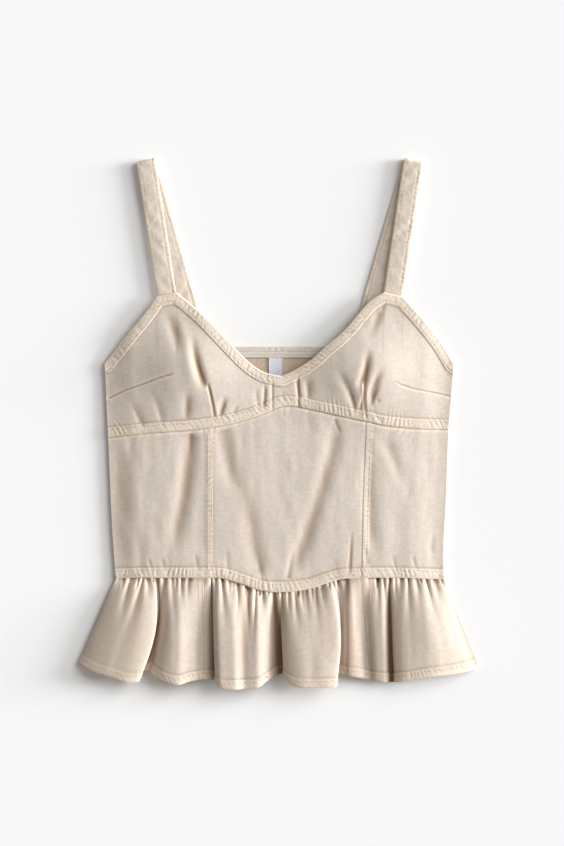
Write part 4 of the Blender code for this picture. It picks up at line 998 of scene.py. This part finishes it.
def makeBack():
    columns, rowCount = int(390 / backLook["spacing"]), int(264 / backLook["spacing"])
    across = np.sin(np.linspace(-1, 1, columns) * 1.2) / math.sin(1.2)
    shares = np.linspace(0, 1, rowCount)[:, None]
    sideY = waistSideY + (underarmY - waistSideY) * shares
    left, right = sideLeft(sideY), sideRight(sideY)
    x = (left + right) / 2 + across * (right - left) / 2
    lowY = waistSideY + seamGap / 2
    y = lowY + (backTop(x) - lowY) * shares
    points = np.stack([x, y, backSurface(x, y)], axis=-1)
    look = dict(backLook, worn=0.7 * np.exp(-((backTopLine.near(x, y)[1] / 1.2) ** 2)))
    piece = layCloth("backPanel", points, np.stack([x, y], axis=-1), backTwill, look, backWall(x, y))
    rows = []
    for line in (backTopLine, backWaistLine):
        for distance in backLook["rows"]:
            row = line.offset(distance, 4, 4)
            rows.append(np.column_stack([row, backHeight(row[:, 0], row[:, 1]) + 0.2]))
    for seamX in (-backLook["princessX"], backLook["princessX"]):
        for aside in (-2.5, 2.5):
            y = np.arange(-163, 74, 0.8)
            rows.append(np.column_stack([np.full(len(y), seamX + aside), y, np.full(len(y), 0.2)]))
    setPiece(piece, "back_bodice", sewRows("backStitches", rows))


def makeBackBand():
    half, depth = backLook["bandHalf"], backLook["bandDepth"]
    x = np.linspace(-half, half, int(2 * half / 1.5))
    drop = np.linspace(depth, 0, 14)[:, None]
    y = backTop(x) - drop
    x = x + 0 * drop
    s = x + 200
    outerStrip = 1 - ease((drop - 5.2) / 0.8)
    z = backHeight(x, y) + 1.65 + 1.0
    z = z + outerStrip * puckers(s, drop, {"pitch": 5.6, "seed": 95, "height": 0.5, "start": 0.4, "end": 4.6,
                                           "slant": 0.4, "reach": 2.0})
    z = z - 0.35 * np.exp(-(((drop - 5.6) / 0.7) ** 2)) - 0.3 * np.exp(-((drop / 0.8) ** 2))
    z = z + 0.25 * np.exp(-(((drop - depth + 0.8) / 1.0) ** 2))
    worn = np.maximum(0.95 * np.exp(-(((drop - depth) / 1.1) ** 2)), 0.45 * outerStrip)
    look = {"thickness": 0.9, "worn": worn, "deepShare": 0.0, "fineHeight": 0.3}
    piece = layCloth("backNeckBand", np.stack([x, y, z], axis=-1), np.stack([x, y], axis=-1), bandTwill, look)
    rows = []
    for distance in (1.8, 10.6):
        run = np.arange(-half + 2, half - 2, 0.8)
        height = backHeight(run, backTop(run) - distance) + 2.68
        rows.append(np.column_stack([run, backTop(run) - distance, height]))
    setPiece(piece, "back_neck_band",
        sewRows("backBandStitches", rows))


def makeLabel():
    labelLook = {"x": -5.0, "width": 15.0, "length": 38.0, "thickness": 0.5, "lift": 0.6, "deepShare": 0.0}
    x = np.linspace(labelLook["x"] - labelLook["width"] / 2, labelLook["x"] + labelLook["width"] / 2, 22)
    top = float(backTop(labelLook["x"])) - backLook["bandDepth"] - layerGap
    shares = np.linspace(1, 0, 50)[:, None]
    y = top - labelLook["length"] * shares
    x, y = x + 0 * shares, y + 0 * x
    edge = np.minimum(x - x[0, 0], x[0, -1] - x)
    z = 1.3 + layerGap + labelLook["lift"] * shares**2 + 0.7
    z = z + 0.12 * np.exp(-((edge / 0.8) ** 2)) + 0.1 * np.sin(y / 5.0) * shares
    look = dict(labelLook, worn=0.5 * np.exp(-((edge / 0.6) ** 2)))
    piece = layCloth("neckLabel", np.stack([x, y, z], axis=-1), np.stack([x, y], axis=-1), labelSatin, look)
    run = np.arange(labelLook["x"] - 6.5, labelLook["x"] + 6.5, 0.8)
    row = np.column_stack([run, np.full(len(run), top - 0.9), np.full(len(run), 2.33)])
    setPiece(piece, "label",
        sewRows("labelStitches", [row]))


backRuffleLook = {
    "hemY": -277.0, "sag": 3.5, "seamHalf": 185.0, "hemHalf": 222.0, "gathers": 44, "gatherHeight": 1.5,
    "gatherReach": 0.3, "waves": 13, "waveHeight": 2.3, "flatEdge": 0.06, "curl": 1.2, "thickness": 0.85,
    "bandThickness": 1.25, "surface": 1.25, "hemBand": 9.3, "rowHem": 8.0, "deepShare": 0.2,
}


def backRuffleInner(across, down):
    look = backRuffleLook
    x = across * (look["seamHalf"] + (look["hemHalf"] - look["seamHalf"]) * down)
    y = waistSideY - seamGap + (look["hemY"] - waistSideY) * down - look["sag"] * down * np.cos(across * math.pi * 1.5)
    drift = 0.35 * np.sin(7 * across) + 0.25 * np.sin(17 * across + 1)
    small = 0.5 - 0.5 * np.cos(math.pi * look["gathers"] * across + drift)
    broad = 0.5 - 0.5 * np.cos(math.pi * look["waves"] * across + 2 * drift)
    inward = ease((1 - np.abs(across)) / look["flatEdge"])
    risen = look["gatherHeight"] * small * np.exp(-((down / look["gatherReach"]) ** 2))
    risen = risen + look["waveHeight"] * broad * ease(2 * down)
    z = inward * np.minimum(risen, look["waveHeight"]) + look["curl"] * (1 - inward)
    return np.stack([x, y, z], axis=-1)


def makeBackRuffle():
    look = backRuffleLook
    across, down = np.broadcast_arrays(np.linspace(-1, 1, 290), np.linspace(1, 0, 56)[:, None])
    points = backRuffleInner(across, down)
    run = across * 300
    fromHem = (1 - down) * 101
    ripples = 0.1 * cloud(101, run, fromHem, 9, 50) * ease(down / 0.1)
    points[..., 2] += look["surface"] + ripples
    band = 1 - ease((fromHem - look["hemBand"]) / 1.8)
    wall = look["thickness"] + (look["bandThickness"] - look["thickness"]) * band + ripples * band
    worn = 0.8 * np.exp(-((fromHem / 1.2) ** 2))
    piece = layCloth("backRuffle", points, np.stack([run, fromHem], axis=-1), ruffleTwill, dict(look, worn=worn), wall)
    hemRun = np.linspace(-0.99, 0.99, 700)
    row = backRuffleInner(hemRun, 0 * hemRun + 1 - look["rowHem"] / 101)
    row[:, 2] += 0.2
    setPiece(piece, "peplum_back", sewRows("backHemStitches", [row]))


makeBack()
makeBackBand()
makeLabel()
makeBackRuffle()
print("back laid")

# ---- straps ----
strapLook = {
    "width": 22.0, "wall": 2.4, "tuck": 8.0, "foldTilt": 12.4, "radius": 2.4, "longestLeg": 300.0, "spacing": 1.3,
    "thickness": 2.3, "offset": 0.0, "rowInset": 3.6, "fineHeight": 0.3, "deepShare": 0.0,
}


class StrapForm:
    # a flat strip bent once round its fold line: foot and top are the middle of the front leg at the cup and the fold
    def __init__(self, side, foot, top):
        foot, top = np.array(foot, float), np.array(top, float)
        self.down = (foot - top) / np.linalg.norm(foot - top)
        self.across = np.array([-self.down[1], self.down[0]])
        tilt = math.radians(strapLook["foldTilt"])
        self.inward = np.array([-side * math.sin(tilt), -math.cos(tilt)])
        self.line = np.array([-self.inward[1], self.inward[0]])
        self.middle = top + self.inward * (strapLook["radius"] + strapLook["wall"] / 2)
        self.bend = math.pi * strapLook["radius"]

    def place(self, width, length):
        r, low = strapLook["radius"], strapLook["wall"] / 2
        flat = self.across * width[..., None] + self.down * length[..., None]
        ahead, beside = flat @ self.inward, flat @ self.line
        angle = np.clip(-ahead / r, 0, math.pi)
        out = np.where(ahead >= 0, ahead, np.where(-ahead <= self.bend, -r * np.sin(angle), -ahead - self.bend))
        z = np.where(ahead >= 0, low + 2 * r, np.where(-ahead <= self.bend, low + r + r * np.cos(angle), low))
        plan = self.middle + self.line * beside[..., None] + self.inward * out[..., None]
        return np.concatenate([plan, z[..., None]], axis=-1)

    def lengthTo(self, width, front, target):
        near, far = (0.0, strapLook["longestLeg"]) if front else (-3 * self.bend, -strapLook["longestLeg"])
        for _halving in range(40):
            guess = (near + far) / 2
            x, y, _z = self.place(np.array(width), np.array(guess))
            near, far = (near, guess) if y < target(x) else (guess, far)
        return (near + far) / 2

    def grid(self):
        widths = np.linspace(-0.5, 0.5, 19) * strapLook["width"]
        columns = []
        for width in widths:
            start = self.lengthTo(width, True, lambda x: float(cupTop(x)) - strapLook["tuck"])
            end = self.lengthTo(width, False, lambda x: float(backTop(x)) + layerGap)
            foldStart = -(self.across * width @ self.inward) / (self.down @ self.inward)
            foldEnd = foldStart - self.bend / (self.down @ self.inward)
            lengths = np.concatenate([np.linspace(start, foldStart, 120, endpoint=False),
                                      np.linspace(foldStart, foldEnd, 12, endpoint=False),
                                      np.linspace(foldEnd, end, 165)])
            column = self.place(np.full(len(lengths), width), lengths)
            inner = frontHeight(column[:, 0], column[:, 1]) - layerGap - strapLook["wall"] / 2
            under = ease((lengths - start + 4 * strapLook["tuck"]) / (2.5 * strapLook["tuck"])) * (lengths > 0)
            column[:, 2] += (inner - column[:, 2]) * under
            columns.append(np.column_stack([column, np.full(len(lengths), width), lengths]))
        return np.stack(columns, axis=1)[::-1]


def makeStrap(name, node, side, foot, top, seed):
    form = StrapForm(side, foot, top)
    table = form.grid()
    points, width, length = table[..., :3], table[..., 3], table[..., 4]
    edge = strapLook["width"] / 2 - np.abs(width)
    # slanting wrinkles between the two rows, and short puckers across each row
    ripple = 0.42 * cloud(seed, length + 0.9 * side * width, width, 11.0, 14)
    ripple = ripple + 0.14 * cloud(seed + 1, length - 0.8 * side * width, width, 5.5, 8)
    edgePucker = {"pitch": 5.4, "seed": seed + 2, "height": 0.5, "start": 0.2, "end": 4.2, "slant": 0.5, "reach": 2.0}
    lift = ripple * ease((edge - 1.5) / 3) + puckers(length + 400, edge, edgePucker) * 0.8
    normal = normalsOf(points)
    moved = points + normal * lift[..., None]
    lowest = 1.25 - strapLook["wall"] / 2
    wall = 0.9 + 1.35 * ease(edge / 2.2)
    wall = wall - 0.55 * np.exp(-(((edge - strapLook["rowInset"]) / 0.9) ** 2))
    moved[..., 2] = np.maximum(moved[..., 2], lowest + wall / 2)
    look = dict(strapLook, worn=0.85 * np.exp(-((edge / 1.2) ** 2)))
    plan = np.stack([width, length], axis=-1)
    # the tone dips at the stitch rows, so they get painted shade
    piece = layCloth(name, moved, plan, strapTwill, look, wall, lift - 0.5 * np.exp(
        -(((edge - strapLook["rowInset"]) / 0.9) ** 2)))
    rows = []
    inset = strapLook["width"] / 2 - strapLook["rowInset"]
    for position in (-inset, inset):
        column = (position + strapLook["width"] / 2) / strapLook["width"] * (table.shape[1] - 1)
        k = int(column)
        share = column - k
        line = moved[:, k] * (1 - share) + moved[:, k + 1] * share
        out = normal[:, k] * (1 - share) + normal[:, k + 1] * share
        pinched = wall[:, k] * (1 - share) + wall[:, k + 1] * share
        # a row shows on both faces
        for face in (-1, 1):
            rows.append(line + out * face * (pinched / 2 + 0.03)[:, None])
    setPiece(piece, node, sewRows(name + "Stitches", rows))


makeStrap("leftStrap", "strap_left", -1, (-128.5, 146), (-152.5, 299.5), 111)
makeStrap("rightStrap", "strap_right", 1, (129, 147), (152, 299.5), 121)
print("straps laid")

# ---- floor, light and camera ----
# a broad window from the upper right, a low one from the right, and warm light from the room
studio = {"floorColour": "#f7f7f7", "fill": 0.32, "fillColour": (1.0, 0.955, 0.9), "keyColour": (0.965, 0.98, 1.0),
          "cameraHeight": 4.5, "viewTall": 0.961, "viewX": 0.0023, "viewY": 0.0006}
# name, strength, width of the source, height above the floor and turn from the right, in degrees
windows = [("broad window", 2.1, 40, 34, 28), ("low window", 5.5, 20, 11.5, 6)]


def makeStudio():
    bm = bmesh.new()
    bmesh.ops.create_grid(bm, x_segments=4, y_segments=4, size=4.0)
    mesh = bpy.data.meshes.new("floor")
    bm.to_mesh(mesh)
    bm.free()
    floor = bpy.data.objects.new("floor", mesh)
    for vertex in mesh.vertices:
        vertex.co.z = -0.0003
    bpy.context.scene.collection.objects.link(floor)
    paper = bpy.data.materials.new("matt white backdrop paper")
    paper.use_nodes = True
    shader = paper.node_tree.nodes["Principled BSDF"]
    shader.inputs["Base Color"].default_value = toLinear(studio["floorColour"])
    shader.inputs["Roughness"].default_value = 1.0
    shader.inputs["Specular IOR Level"].default_value = 0.0
    mesh.materials.append(paper)
    world = bpy.data.worlds.new("pale room")
    world.use_nodes = True
    world.node_tree.nodes["Background"].inputs["Color"].default_value = (*studio["fillColour"], 1.0)
    world.node_tree.nodes["Background"].inputs["Strength"].default_value = studio["fill"]
    bpy.context.scene.world = world
    for name, strength, wide, height, turn in windows:
        light = bpy.data.lights.new(name, "SUN")
        light.energy = strength
        light.angle = math.radians(wide)
        light.color = studio["keyColour"]
        sun = bpy.data.objects.new(name, light)
        sun.rotation_euler = (0, math.radians(90 - height), math.radians(turn))
        bpy.context.scene.collection.objects.link(sun)
    lens = bpy.data.cameras.new("camera")
    lens.sensor_fit = "VERTICAL"
    lens.sensor_height = 36.0
    lens.lens = 36.0 * studio["cameraHeight"] / studio["viewTall"]
    lens.clip_end = 50.0
    camera = bpy.data.objects.new("camera", lens)
    camera.location = (studio["viewX"], studio["viewY"], studio["cameraHeight"])
    bpy.context.scene.collection.objects.link(camera)
    bpy.context.scene.camera = camera
    bpy.context.scene.view_settings.view_transform = "Standard"


makeStudio()
print("floor, light and camera set")
